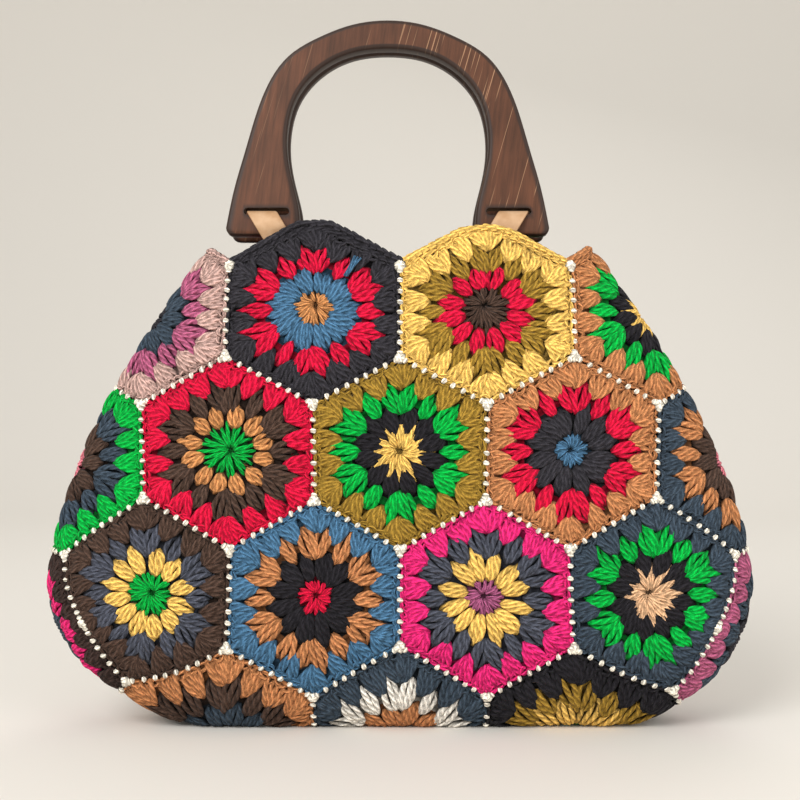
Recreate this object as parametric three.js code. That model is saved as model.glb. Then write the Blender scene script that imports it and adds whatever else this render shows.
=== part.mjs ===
// Crochet handbag: twenty-seven hexagon motifs sewn edge to edge into a soft pouch,
// carried by two wooden handles that hang on four leather tabs.
// Millimetres, +Z up, front face towards -Y, origin on the floor under the middle of the bag.
import * as THREE from "three";

// Joining yarn: cream stitches lying in the grooves between the motifs
const YARN_HALF_WIDTH = 2.2;
const YARN_ABOVE_CREST = 0.5;
const YARN_BELOW_CREST = 0.9;
const YARN_OFF_FLOOR = 0.3;

// Handles: two flat wooden arches
const HANDLE_WIDTH = 170;
const HANDLE_HEIGHT = 116;
const HANDLE_THICKNESS = 9;
const HANDLE_BEVEL = 0.9;
const ARCH_THICKNESS = 15.5;
const FOOT_WIDTH = 39;
const FOOT_ROUND = 4;
const SLOT_INSET = 1.9;
const SLOT_X = HANDLE_WIDTH / 2 - FOOT_WIDTH / 2 - SLOT_INSET;
const SLOT_WIDTH = 24;
const SLOT_HEIGHT = 4;
const BAR_HEIGHT = 10.5;
const HANDLE_GAP = 0.6;
const HANDLE_OFFSET = -6.5;

// Hinge line of each handle: the middle of the bars under its slots
const HINGE_Y = 13.5;
const HINGE_Z = 264;

// Tabs: leather straps looped through the slots and sewn inside the mouth
const TAB_WIDTH = 16;
const TAB_INNER_RADIUS = 6.7;
const TAB_LEATHER = 1.6;
const TAB_TAIL_END_Z = 232;
const TAB_SLANT = 0.6;
const TAB_FROM_SLOT_MIDDLE = 3;
const TAB_TURNS = 14;
const DEPTH_ROUNDS = 30;
const CONTACT_GAP = 0.7;

// Motif: one crocheted hexagon
const MOTIF_WIDTH = 86;
const MOTIF_SIDE = MOTIF_WIDTH / Math.sqrt(3);
const MOTIF_THICKNESS = 6;
const SEAM_GAP = 0.4;
const RELIEF_GROOVE = 1.5;
const RIM_GROOVE = 1.7;
const RIM_WIDTH = 3.4;
const MOUTH_CORNER = 44;

// Form of the filled pouch, measured on the middle of the cloth
const HALF_WIDTH = 184.5;
const MOUTH_NARROWING = 94;
const SHOULDER_Z = 80;
const MOUTH_Z = 265;
const NARROWING_POWER = 1.6;
const HALF_DEPTH = 35;
const MOUTH_HALF_DEPTH = 29;
const DEPTH_SHOULDER_Z = 120;
const BASE_ROUND = 72;
const BASE_PRESS = 4;
const BASE_CORNER = 44;
const BASE_CORNER_Z = 76;
const BASE_LEVEL = MOTIF_THICKNESS / 2;
const SIDE_ROUND_LOW = 0.2;
const SIDE_ROUND_HIGH = 0.86;
const SIDE_ROUND_FROM_Z = 70;
const SIDE_ROUND_TO_Z = 160;
const FORM_POWER = 2.2;

// Heights at which the rows of motifs settle
const ROW_Z = { 1: 223, 2: 147, 3: 74 };
const ROW_SPACING = { 1: 85, 2: 86, 3: 83.5, 4: 87 };
const SIDE_Z = { 1: 213, 2: 137, 3: 46 };
const END_CORNER_X = 163;
const END_CORNER_Z = 47;
const EVENED_STEPS = 4;
const EVENING_SWEEPS = 60;
const HOLD = 3;
const FRONT_GATHER = 0.95;
const SIDE_GATHER = 0.95;
const BASE_STRETCH = 1.2;
const MAX_SLACK = 6;
const LATTICE = 6;
const SETTLE_STEPS = 700;

// Cloth model: which motifs there are and where they lie on the flat sheet

const motifs = [];
const motifIndex = {};

function motifName(sheet, row, place) {
  return `${sheet}${row}:${place}`;
}

function addMotif(sheet, row, place) {
  motifIndex[motifName(sheet, row, place)] = motifs.length;
  motifs.push({ sheet, row, place });
}

for (const sheet of ["front", "back"]) {
  for (const row of [1, 2, 3]) {
    for (let i = 0; i <= row; i++) addMotif(sheet, row, i - row / 2);
  }
}
for (const side of [-1, 1]) {
  for (const row of [1, 2, 3]) addMotif("side", row, side);
}
for (const place of [-1, 0, 1]) addMotif("base", 4, place);

// Every motif is a triangular lattice; corner k stands at 30 + 60 k degrees, edge k runs from corner k to k + 1
const CORNER_STEPS = [[1, 0], [0, 1], [-1, 1], [-1, 0], [0, -1], [1, -1]];
const lattice = [];
const latticeIndex = new Map();
for (let q = -LATTICE; q <= LATTICE; q++) {
  for (let r = -LATTICE; r <= LATTICE; r++) {
    if (Math.abs(q + r) > LATTICE) continue;
    latticeIndex.set(`${q},${r}`, lattice.length);
    lattice.push([q, r]);
  }
}
const CELL = MOTIF_SIDE / LATTICE;

function latticeToFlat([q, r]) {
  return [CELL * q * Math.cos(Math.PI / 6), CELL * (q / 2 + r)];
}

function edgePoints(k) {
  const [from, to] = [CORNER_STEPS[k], CORNER_STEPS[(k + 1) % 6]];
  const points = [];
  for (let t = 0; t <= LATTICE; t++) {
    const q = from[0] * (LATTICE - t) + to[0] * t;
    const r = from[1] * (LATTICE - t) + to[1] * t;
    points.push(latticeIndex.get(`${q},${r}`));
  }
  return points;
}

// Seams: edge of one motif sewn to edge of another, the two running opposite ways
const seams = [];

function sew(a, edgeA, b, edgeB) {
  seams.push({ a: motifIndex[a], edgeA, b: motifIndex[b], edgeB });
}

for (const sheet of ["front", "back"]) {
  for (const row of [1, 2, 3]) {
    for (let i = 0; i <= row; i++) {
      const here = motifName(sheet, row, i - row / 2);
      if (i < row) sew(here, 5, motifName(sheet, row, i + 1 - row / 2), 2);
      if (row === 3) continue;
      sew(here, 3, motifName(sheet, row + 1, i - (row + 1) / 2), 0);
      sew(here, 4, motifName(sheet, row + 1, i + 1 - (row + 1) / 2), 1);
    }
  }
}
for (const row of [1, 2, 3]) {
  const right = motifName("side", row, 1);
  const left = motifName("side", row, -1);
  sew(right, 2, motifName("front", row, row / 2), 5);
  sew(right, 0, motifName("back", row, -row / 2), 2);
  sew(left, 5, motifName("front", row, -row / 2), 2);
  sew(left, 1, motifName("back", row, row / 2), 5);
  const low = Math.min(row + 1, 3);
  sew(right, 3, motifName("front", low, low / 2), row < 3 ? 0 : 4);
  sew(right, 5, motifName("back", low, -low / 2), row < 3 ? 1 : 3);
  sew(left, 4, motifName("front", low, -low / 2), row < 3 ? 1 : 3);
  sew(left, 2, motifName("back", low, low / 2), row < 3 ? 0 : 4);
  sew(right, 4, row < 3 ? motifName("side", row + 1, 1) : motifName("base", 4, 1), row < 3 ? 1 : 5);
  sew(left, 3, row < 3 ? motifName("side", row + 1, -1) : motifName("base", 4, -1), row < 3 ? 0 : 2);
}
for (const place of [-1, 0, 1]) {
  const here = motifName("base", 4, place);
  sew(here, 0, motifName("front", 3, place + 0.5), 3);
  sew(here, 1, motifName("front", 3, place - 0.5), 4);
  sew(here, 3, motifName("back", 3, 0.5 - place), 3);
  sew(here, 4, motifName("back", 3, -0.5 - place), 4);
  if (place < 1) sew(here, 5, motifName("base", 4, place + 1), 2);
}

// Form: zero on the middle surface of the cloth, negative inside the pouch

function ramp(value, from, to) {
  const t = Math.min(1, Math.max(0, (value - from) / (to - from)));
  return t * t * (3 - 2 * t);
}

function formValue(x, y, z) {
  const narrowing = Math.max(0, (z - SHOULDER_Z) / (MOUTH_Z - SHOULDER_Z));
  const cornering = Math.min(1, Math.max(0, (BASE_CORNER_Z - z) / BASE_CORNER_Z));
  const halfWidth = HALF_WIDTH - MOUTH_NARROWING * narrowing ** NARROWING_POWER
    - BASE_CORNER * (1 - Math.sqrt(1 - 0.999 * cornering ** 2));
  const flattening = Math.max(0, (z - DEPTH_SHOULDER_Z) / (MOUTH_Z - DEPTH_SHOULDER_Z));
  const halfDepth = HALF_DEPTH - (HALF_DEPTH - MOUTH_HALF_DEPTH) * flattening ** 1.5;
  const roundShare = SIDE_ROUND_LOW
    + (SIDE_ROUND_HIGH - SIDE_ROUND_LOW) * ramp(z, SIDE_ROUND_FROM_Z, SIDE_ROUND_TO_Z);
  const sideRound = roundShare * halfWidth;
  const towardsSide = Math.max(0, Math.abs(x) - halfWidth + sideRound) / sideRound;
  const towardsBase = Math.max(0, BASE_LEVEL - BASE_PRESS + BASE_ROUND - z) / BASE_ROUND;
  const rim = Math.hypot(towardsSide, towardsBase);
  return (Math.abs(y / halfDepth) ** FORM_POWER + rim ** FORM_POWER) ** (1 / FORM_POWER) - 1;
}

const DIFFERENCE = 0.01;

function formGradient(x, y, z) {
  const h = DIFFERENCE;
  return [
    (formValue(x + h, y, z) - formValue(x - h, y, z)) / (2 * h),
    (formValue(x, y + h, z) - formValue(x, y - h, z)) / (2 * h),
    (formValue(x, y, z + h) - formValue(x, y, z - h)) / (2 * h),
  ];
}

// Moves a point straight onto the form
function ontoForm(p, rounds) {
  for (let i = 0; i < rounds; i++) {
    const g = formGradient(p[0], p[1], p[2]);
    const length2 = g[0] * g[0] + g[1] * g[1] + g[2] * g[2] + 1e-9;
    const step = Math.max(-8, Math.min(8, formValue(p[0], p[1], p[2]) / Math.sqrt(length2))) / Math.sqrt(length2);
    for (let c = 0; c < 3; c++) p[c] -= step * g[c];
  }
  return p;
}

// Settling: the sewn lattice slides over the form until its cells are as even as they can be

const nodesPerMotif = lattice.length;
const parent = motifs.flatMap((_, m) => lattice.map((_, i) => m * nodesPerMotif + i));

function root(i) {
  while (parent[i] !== i) i = parent[i];
  return i;
}

for (const { a, edgeA, b, edgeB } of seams) {
  const pointsA = edgePoints(edgeA);
  const pointsB = edgePoints(edgeB).reverse();
  pointsA.forEach((p, t) => {
    parent[root(a * nodesPerMotif + p)] = root(b * nodesPerMotif + pointsB[t]);
  });
}
const nodeOf = new Map();
const node = parent.map((_, i) => {
  const r = root(i);
  if (!nodeOf.has(r)) nodeOf.set(r, nodeOf.size);
  return nodeOf.get(r);
});

// Start of a motif: front and back lie upright, the lowest side motifs stand as end walls,
// the other side motifs and the base are folded in half round the edge
function startPoint({ sheet, row, place }, [u, v]) {
  const spacing = place * (ROW_SPACING[row] ?? MOTIF_WIDTH);
  if (sheet === "front") return [spacing + u, -HALF_DEPTH, ROW_Z[row] + v];
  if (sheet === "back") return [-spacing - u, HALF_DEPTH, ROW_Z[row] + v];
  if (sheet === "base") return [spacing + u, -v * 0.7, Math.abs(v) * 0.7];
  const along = (place * u) / 2 - (v * Math.sqrt(3)) / 2;
  const across = (place * u * Math.sqrt(3)) / 2 + v / 2;
  if (row === 3) return [place * HALF_WIDTH, across * 0.8, SIDE_Z[row] - along];
  const folded = Math.abs(across);
  const reach = (1 + row / 2) * MOTIF_WIDTH + along / 2 - (folded * Math.sqrt(3)) / 2;
  const y = Math.sign(across) * HALF_DEPTH * Math.min(1, folded / 30);
  return [place * reach, y, ROW_Z[row] - (along * Math.sqrt(3)) / 2 - folded / 2];
}

const nodeCount = nodeOf.size;
const at = new Float64Array(3 * nodeCount);
const shares = new Float64Array(nodeCount);
motifs.forEach((motif, m) => lattice.forEach((cell, i) => {
  const k = node[m * nodesPerMotif + i];
  startPoint(motif, latticeToFlat(cell)).forEach((value, c) => (at[3 * k + c] += value));
  shares[k] += 1;
}));
for (let i = 0; i < at.length; i++) at[i] /= shares[Math.floor(i / 3)];

// Front, back and the lowest side motifs are gathered a little, the base motifs are stretched by the load
function ease({ sheet, row }) {
  if (sheet === "base") return BASE_STRETCH;
  if (sheet === "side") return row === 3 ? SIDE_GATHER : 1;
  return FRONT_GATHER;
}

const springs = [];
const springSeen = new Set();
motifs.forEach((motif, m) => {
  const rest = ease(motif) * CELL;
  lattice.forEach(([q, r], i) => {
    for (const [dq, dr] of CORNER_STEPS) {
      const j = latticeIndex.get(`${q + dq},${r + dr}`);
      if (j === undefined) continue;
      const [a, b] = [node[m * nodesPerMotif + i], node[m * nodesPerMotif + j]].sort((x, y) => x - y);
      if (springSeen.has(`${a},${b}`)) continue;
      springSeen.add(`${a},${b}`);
      springs.push([a, b, rest]);
    }
  });
});

// The middle of every motif is held over its place; the rest of the cloth finds its own
const holds = [];
motifs.forEach(({ sheet, row, place }, m) => {
  const k = node[m * nodesPerMotif + latticeIndex.get("0,0")];
  const spacing = place * (ROW_SPACING[row] ?? MOTIF_WIDTH);
  if (sheet === "front") holds.push([3 * k, spacing], [3 * k + 2, ROW_Z[row]]);
  if (sheet === "back") holds.push([3 * k, -spacing], [3 * k + 2, ROW_Z[row]]);
  if (sheet === "side") holds.push([3 * k + 1, 0], [3 * k + 2, SIDE_Z[row]]);
  if (sheet === "base") holds.push([3 * k, spacing], [3 * k + 1, 0]);
});
// So is the lower corner of the outermost motifs, where only two motifs meet
const cornerNodes = [];
for (const [sheet, side] of [["front", -1], ["front", 1], ["back", -1], ["back", 1]]) {
  const corner = CORNER_STEPS[side > 0 ? 5 : 3].map((value) => value * LATTICE).join(",");
  const k = node[motifIndex[motifName(sheet, 3, 1.5 * side)] * nodesPerMotif + latticeIndex.get(corner)];
  holds.push([3 * k, (sheet === "front" ? side : -side) * END_CORNER_X], [3 * k + 2, END_CORNER_Z]);
  cornerNodes.push(k);
}
const speed = new Float64Array(3 * nodeCount);
const force = new Float64Array(3 * nodeCount);
for (let step = 0; step < SETTLE_STEPS; step++) {
  force.fill(0);
  for (const [a, b, rest] of springs) {
    const dx = at[3 * b] - at[3 * a];
    const dy = at[3 * b + 1] - at[3 * a + 1];
    const dz = at[3 * b + 2] - at[3 * a + 2];
    const slack = (rest * rest) / (dx * dx + dy * dy + dz * dz);
    const pull = 0.5 - 0.5 * Math.min(slack, MAX_SLACK);
    force[3 * a] += pull * dx;
    force[3 * a + 1] += pull * dy;
    force[3 * a + 2] += pull * dz;
    force[3 * b] -= pull * dx;
    force[3 * b + 1] -= pull * dy;
    force[3 * b + 2] -= pull * dz;
  }
  for (const [i, value] of holds) force[i] += HOLD * (value - at[i]);
  for (let i = 0; i < at.length; i++) {
    speed[i] = 0.95 * speed[i] + 0.3 * force[i];
    at[i] += 0.3 * speed[i];
  }
  for (let k = 0; k < nodeCount; k++) at.set(ontoForm([at[3 * k], at[3 * k + 1], at[3 * k + 2]], 1), 3 * k);
}

// Round the lower corners the cloth is then evened out: every node moves to the middle of its neighbours
const evened = new Set(cornerNodes);
for (let step = 0; step < EVENED_STEPS; step++) {
  const touching = springs.filter(([a, b]) => evened.has(a) || evened.has(b));
  for (const [a, b] of touching) evened.add(a).add(b);
}
const neighbours = new Map([...evened].map((k) => [k, []]));
for (const [a, b] of springs) {
  neighbours.get(a)?.push(b);
  neighbours.get(b)?.push(a);
}
for (let sweep = 0; sweep < EVENING_SWEEPS; sweep++) {
  for (const [k, around] of neighbours) {
    const p = [0, 1, 2].map((c) => around.reduce((sum, n) => sum + at[3 * n + c], 0) / around.length);
    at.set(ontoForm(p, 2), 3 * k);
  }
}

// Point of a motif on the settled cloth, with the direction that faces out of the bag
function clothPoint(m, u, v) {
  const q = u / (CELL * Math.cos(Math.PI / 6));
  const r = v / CELL - q / 2;
  const [q0, r0] = [Math.floor(q + 1e-6), Math.floor(r + 1e-6)];
  const [a, b] = [q - q0, r - r0];
  const upper = a + b > 1;
  const corners = upper ? [[1, 1, a + b - 1], [0, 1, 1 - a], [1, 0, 1 - b]] : [[0, 0, 1 - a - b], [1, 0, a], [0, 1, b]];
  const p = [0, 0, 0];
  let total = 0;
  for (const [dq, dr, weight] of corners) {
    const i = latticeIndex.get(`${q0 + dq},${r0 + dr}`);
    if (i === undefined) continue;
    const k = node[m * nodesPerMotif + i];
    for (let c = 0; c < 3; c++) p[c] += weight * at[3 * k + c];
    total += weight;
  }
  for (let c = 0; c < 3; c++) p[c] /= total;
  ontoForm(p, 4);
  const out = new THREE.Vector3(...formGradient(...p)).normalize();
  const place = new THREE.Vector3(...p);
  if (place.z < BASE_LEVEL) {
    place.z = BASE_LEVEL;
    out.set(0, 0, -1);
  }
  return { place, out };
}

// Distance from the middle of a motif to its edge; corners on the mouth are worked round
function edgeDistance({ sheet, row }, angle) {
  const fromFlat = angle - (Math.PI / 3) * Math.round(angle / (Math.PI / 3));
  const distance = MOTIF_WIDTH / 2 / Math.cos(fromFlat);
  const onMouth = row === 1 && sheet !== "side" && Math.abs(angle - Math.PI / 2) < Math.PI / 6;
  return onMouth ? Math.min(distance, MOUTH_CORNER) : distance;
}

// Mesh helper: indexed triangles collected into one geometry
class Surface {
  points = [];
  faces = [];

  add(vector) {
    return this.points.push(vector.x, vector.y, vector.z) / 3 - 1;
  }

  // Triangles between an inner and an outer ring that turn the same way
  band(inner, outer) {
    let [i, o] = [0, 0];
    while (i < inner.length || o < outer.length) {
      const stepInner = o === outer.length || (i < inner.length && (i + 0.5) / inner.length < (o + 0.5) / outer.length);
      const [a, b] = [inner[i % inner.length], outer[o % outer.length]];
      if (stepInner) {
        i += 1;
        this.faces.push(a, b, inner[i % inner.length]);
      } else {
        o += 1;
        this.faces.push(a, b, outer[o % outer.length]);
      }
    }
  }

  fan(middle, ring) {
    ring.forEach((p, i) => this.faces.push(middle, p, ring[(i + 1) % ring.length]));
  }

  geometry(flip) {
    const result = new THREE.BufferGeometry();
    const faces = flip ? this.faces.toReversed() : this.faces;
    result.setAttribute("position", new THREE.Float32BufferAttribute(this.points, 3));
    result.setIndex(faces);
    result.computeVertexNormals();
    return result;
  }
}

// Rounds of one motif, from the middle outwards: stitches, distance, squareness to the hexagon, depth below
// the crest; the load presses the base motifs flat
const ROUNDS = [
  { stitches: 12, reach: 5.5, hex: 0, dip: () => 0 },
  { stitches: 12, reach: 10.5, hex: 0, dip: () => RELIEF_GROOVE },
  { stitches: 24, reach: 20.5, hex: 0.2, dip: (k) => (k % 2 ? RELIEF_GROOVE : 0) },
  { stitches: 24, reach: 31, hex: 0.6, dip: (k) => (k % 2 ? 0 : RELIEF_GROOVE / 2) },
  { stitches: 24, reach: MOTIF_WIDTH / 2 - RIM_WIDTH, hex: 1, dip: () => 0 },
  { stitches: 24, reach: (MOTIF_WIDTH - SEAM_GAP) / 2, hex: 1, dip: () => RIM_GROOVE },
];
const FIRST_ANGLE = Math.PI / 6;

function motifMesh(m) {
  const motif = motifs[m];
  const surface = new Surface();

  function ring(stitches, reach, hex, height, firstAngle) {
    return Array.from({ length: stitches }, (_, k) => {
      const angle = firstAngle + (2 * Math.PI * k) / stitches;
      const turn = angle % (2 * Math.PI);
      const toEdge = edgeDistance(motif, turn);
      const distance = reach * (1 - hex + (hex * toEdge) / (MOTIF_WIDTH / 2));
      const { place, out } = clothPoint(m, distance * Math.cos(angle), distance * Math.sin(angle));
      return surface.add(place.addScaledVector(out, height(k)));
    });
  }

  const crest = MOTIF_THICKNESS / 2;
  const middle = clothPoint(m, 0, 0);
  const middleDip = motif.sheet === "base" ? 0 : RELIEF_GROOVE / 2;
  const outerMiddle = surface.add(middle.place.clone().addScaledVector(middle.out, crest - middleDip));
  const innerMiddle = surface.add(middle.place.clone().addScaledVector(middle.out, -crest));
  const outer = ROUNDS.map(({ stitches, reach, hex, dip }) => {
    const pressedFlat = motif.sheet === "base" && hex < 1;
    return ring(stitches, reach, hex, (k) => crest - (pressedFlat ? 0 : dip(k)), FIRST_ANGLE);
  });
  const edge = ROUNDS.at(-1);
  const innerEdge = ring(edge.stitches, edge.reach, edge.hex, () => -crest, FIRST_ANGLE);
  const innerRing = ring(6, MOTIF_WIDTH / 4, 0.5, () => -crest, 2 * FIRST_ANGLE);
  surface.fan(outerMiddle, outer[0]);
  outer.slice(1).forEach((round, i) => surface.band(outer[i], round));
  surface.band(outer.at(-1), innerEdge);
  surface.band([...innerEdge.slice(2), ...innerEdge.slice(0, 2)], innerRing);
  surface.fan(innerMiddle, innerRing.toReversed());
  return surface.geometry(false);
}

const bag = new THREE.Group();
bag.name = "crochet_handbag";

function addPiece(name, geometry) {
  const mesh = new THREE.Mesh(geometry);
  mesh.name = name;
  bag.add(mesh);
}

const PLACE_LETTERS = "abcd";
motifs.forEach(({ sheet, row, place }, m) => {
  if (sheet === "side") addPiece(`motif_${place < 0 ? "left" : "right"}_${row}`, motifMesh(m));
  else if (sheet === "base") addPiece(`motif_base_${PLACE_LETTERS[place + 1]}`, motifMesh(m));
  else addPiece(`motif_${sheet}_${row}${PLACE_LETTERS[place + row / 2]}`, motifMesh(m));
});

// Joining yarn: a three-sided strand along every seam, the strands meeting in knots at the motif corners

const SEAM_STOPS = [-2, -1, 0, 1, 2].map((k) => 0.5 + (0.5 * Math.tan((k * Math.PI) / 12)) / Math.tan(Math.PI / 6));

function cornerAngle(k) {
  return FIRST_ANGLE + (k * Math.PI) / 3;
}

function seamPoint({ a, edgeA }, t) {
  const [from, to] = [cornerAngle(edgeA), cornerAngle(edgeA + 1)];
  const u = MOTIF_SIDE * ((1 - t) * Math.cos(from) + t * Math.cos(to));
  const v = MOTIF_SIDE * ((1 - t) * Math.sin(from) + t * Math.sin(to));
  return clothPoint(a, u, v);
}

function seamEndNode({ a, edgeA }, end) {
  const [q, r] = CORNER_STEPS[(edgeA + end) % 6];
  return node[a * nodesPerMotif + latticeIndex.get(`${q * LATTICE},${r * LATTICE}`)];
}

function yarnMesh() {
  const surface = new Surface();
  const top = MOTIF_THICKNESS / 2 + YARN_ABOVE_CREST;
  const bottom = MOTIF_THICKNESS / 2 - YARN_BELOW_CREST;
  const lift = ({ place, out }, height) => place.clone().addScaledVector(out, height);
  const addOffFloor = (point) => surface.add(point.setZ(Math.max(point.z, YARN_OFF_FLOOR)));
  const knots = new Map();
  for (const seam of seams) {
    seam.points = SEAM_STOPS.map((t) => seamPoint(seam, t));
    for (const end of [0, 1]) {
      const k = seamEndNode(seam, end);
      if (!knots.has(k)) knots.set(k, { centre: seam.points[end ? 4 : 0], strands: [] });
      knots.get(k).strands.push({ seam, end });
    }
  }

  // Knots: corner points between the strands round each motif corner, and one point underneath
  for (const knot of knots.values()) {
    const { centre, strands } = knot;
    const reference = new THREE.Vector3(0.3, 0.2, 1).cross(centre.out).normalize();
    const other = centre.out.clone().cross(reference);
    for (const strand of strands) {
      const next = strand.seam.points[strand.end ? 3 : 1].place;
      const away = next.clone().sub(centre.place);
      strand.turn = Math.atan2(away.dot(other), away.dot(reference));
    }
    strands.sort((a, b) => a.turn - b.turn);
    const under = surface.add(lift(centre, bottom));
    const count = strands.length;
    const gaps = count === 1 ? [Math.PI, Math.PI] : strands.map((strand, i) => {
      const span = strands[(i + 1) % count].turn - strand.turn;
      return span > 0 ? span : span + 2 * Math.PI;
    });
    const corners = gaps.map((span, i) => {
      const turn = count === 1 ? strands[0].turn + (i ? -Math.PI / 2 : Math.PI / 2) : strands[i].turn + span / 2;
      const reach = count === 1 ? YARN_HALF_WIDTH : YARN_HALF_WIDTH / Math.max(0.7, Math.sin(span / 2));
      const sideways = reference.clone().multiplyScalar(Math.cos(turn)).addScaledVector(other, Math.sin(turn));
      return addOffFloor(lift(centre, top).addScaledVector(sideways, reach));
    });
    strands.forEach((strand, i) => {
      const right = count === 1 ? corners[1] : corners[(i + count - 1) % count];
      strand.seam[strand.end ? "last" : "first"] = { left: corners[i], right, under };
    });
    if (count === 3) surface.faces.push(corners[0], corners[1], corners[2]);
    if (count === 1) surface.faces.push(corners[0], under, corners[1]);
  }

  // Strands between the knots
  for (const seam of seams) {
    const stops = [seam.first];
    for (const i of [1, 2, 3]) {
      const { place, out } = seam.points[i];
      const along = seam.points[i + 1].place.clone().sub(seam.points[i - 1].place);
      const sideways = out.clone().cross(along).normalize();
      const crown = place.clone().addScaledVector(out, top);
      stops.push({
        left: addOffFloor(crown.clone().addScaledVector(sideways, YARN_HALF_WIDTH)),
        right: addOffFloor(crown.clone().addScaledVector(sideways, -YARN_HALF_WIDTH)),
        under: surface.add(place.clone().addScaledVector(out, bottom)),
      });
    }
    stops.push({ left: seam.last.right, right: seam.last.left, under: seam.last.under });
    for (let i = 0; i < 4; i++) {
      const [p, n] = [stops[i], stops[i + 1]];
      for (const [a, b] of [["right", "left"], ["left", "under"], ["under", "right"]]) {
        surface.faces.push(p[a], n[a], n[b], p[a], n[b], p[b]);
      }
    }
  }
  return surface.geometry(false);
}

addPiece("joining_yarn", yarnMesh());

// Handles

const HANDLE_REACH = HANDLE_HEIGHT - BAR_HEIGHT / 2;
const HANDLE_LEAN = Math.asin((HINGE_Y - (HANDLE_THICKNESS + HANDLE_GAP) / 2) / HANDLE_REACH);

// Half outline of the arch seen from the front, from the middle of the crown down to the foot;
// outer x as a share of the half width, inner x as a share of the half width between the feet, height as a share
// of the full height
const OUTER_STATIONS = [[0, 1], [0.2, 0.98], [0.4, 0.92], [0.61, 0.83], [0.745, 0.685], [0.82, 0.53], [0.88, 0.38], [0.95, 0.22]];
const INNER_STATIONS = [[1.016, 0.12], [1.09, 0.25], [1.155, 0.4], [1.136, 0.53], [1.044, 0.645], [0.841, 0.75], [0.462, 0.84]];

function handleOutline() {
  const half = HANDLE_WIDTH / 2;
  const station = (reach) => ([x, z]) => new THREE.Vector2(x * reach, z * HANDLE_HEIGHT - BAR_HEIGHT / 2);
  const [onOuter, onInner] = [station(half), station(half - FOOT_WIDTH)];
  const low = -BAR_HEIGHT / 2;
  const crownInner = new THREE.Vector2(0, HANDLE_REACH - ARCH_THICKNESS);
  const outerCurve = new THREE.SplineCurve([
    ...OUTER_STATIONS.slice(1).reverse().map(([x, z]) => onOuter([-x, z])),
    ...OUTER_STATIONS.map(onOuter),
  ]);
  const innerCurve = new THREE.SplineCurve([
    ...INNER_STATIONS.map(onInner),
    crownInner,
    ...INNER_STATIONS.toReversed().map(([x, z]) => onInner([-x, z])),
  ]);
  const foot = [
    [half, low + FOOT_ROUND],
    [half - FOOT_ROUND * 0.3, low + FOOT_ROUND * 0.3],
    [half - FOOT_ROUND, low],
    [half - FOOT_WIDTH + FOOT_ROUND, low],
    [half - FOOT_WIDTH + FOOT_ROUND * 0.3, low + FOOT_ROUND * 0.3],
    [half - FOOT_WIDTH, low + FOOT_ROUND],
  ].map(([x, z]) => new THREE.Vector2(x, z));
  const otherFoot = foot.toReversed().map((p) => new THREE.Vector2(-p.x, p.y));
  return new THREE.Shape([...outerCurve.getSpacedPoints(22), ...foot, ...innerCurve.getSpacedPoints(20), ...otherFoot]);
}

function slotOutline(x) {
  const round = SLOT_HEIGHT / 2;
  const reach = SLOT_WIDTH / 2 - round;
  const middle = BAR_HEIGHT / 2 + round;
  const slot = new THREE.Path();
  slot.absarc(x + reach, middle, round, -Math.PI / 2, Math.PI / 2, false);
  slot.absarc(x - reach, middle, round, Math.PI / 2, (3 * Math.PI) / 2, false);
  return slot;
}

function handleMesh(side) {
  const outline = handleOutline();
  outline.holes.push(slotOutline(-SLOT_X), slotOutline(SLOT_X));
  const geometry = new THREE.ExtrudeGeometry(outline, {
    depth: HANDLE_THICKNESS - 2 * HANDLE_BEVEL,
    bevelThickness: HANDLE_BEVEL,
    bevelSize: HANDLE_BEVEL,
    bevelOffset: -HANDLE_BEVEL,
    bevelSegments: 1,
    curveSegments: 3,
  });
  geometry.translate(0, 0, HANDLE_BEVEL - HANDLE_THICKNESS / 2);
  geometry.rotateX(Math.PI / 2 + side * HANDLE_LEAN);
  geometry.translate(HANDLE_OFFSET, side * HINGE_Y, HINGE_Z);
  return geometry;
}

addPiece("front_handle", handleMesh(-1));
addPiece("rear_handle", handleMesh(1));

// Tabs: a strap slanting down through the slot and round the bar, its two ends lying together against the
// inside of the mouth

// Depth of the middle of the cloth at a place seen from the front
function clothDepth(x, z) {
  let [inside, outside] = [0, HALF_DEPTH];
  for (let i = 0; i < DEPTH_ROUNDS; i++) {
    const y = (inside + outside) / 2;
    if (formValue(x, y, z) < 0) inside = y;
    else outside = y;
  }
  return inside;
}

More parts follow.
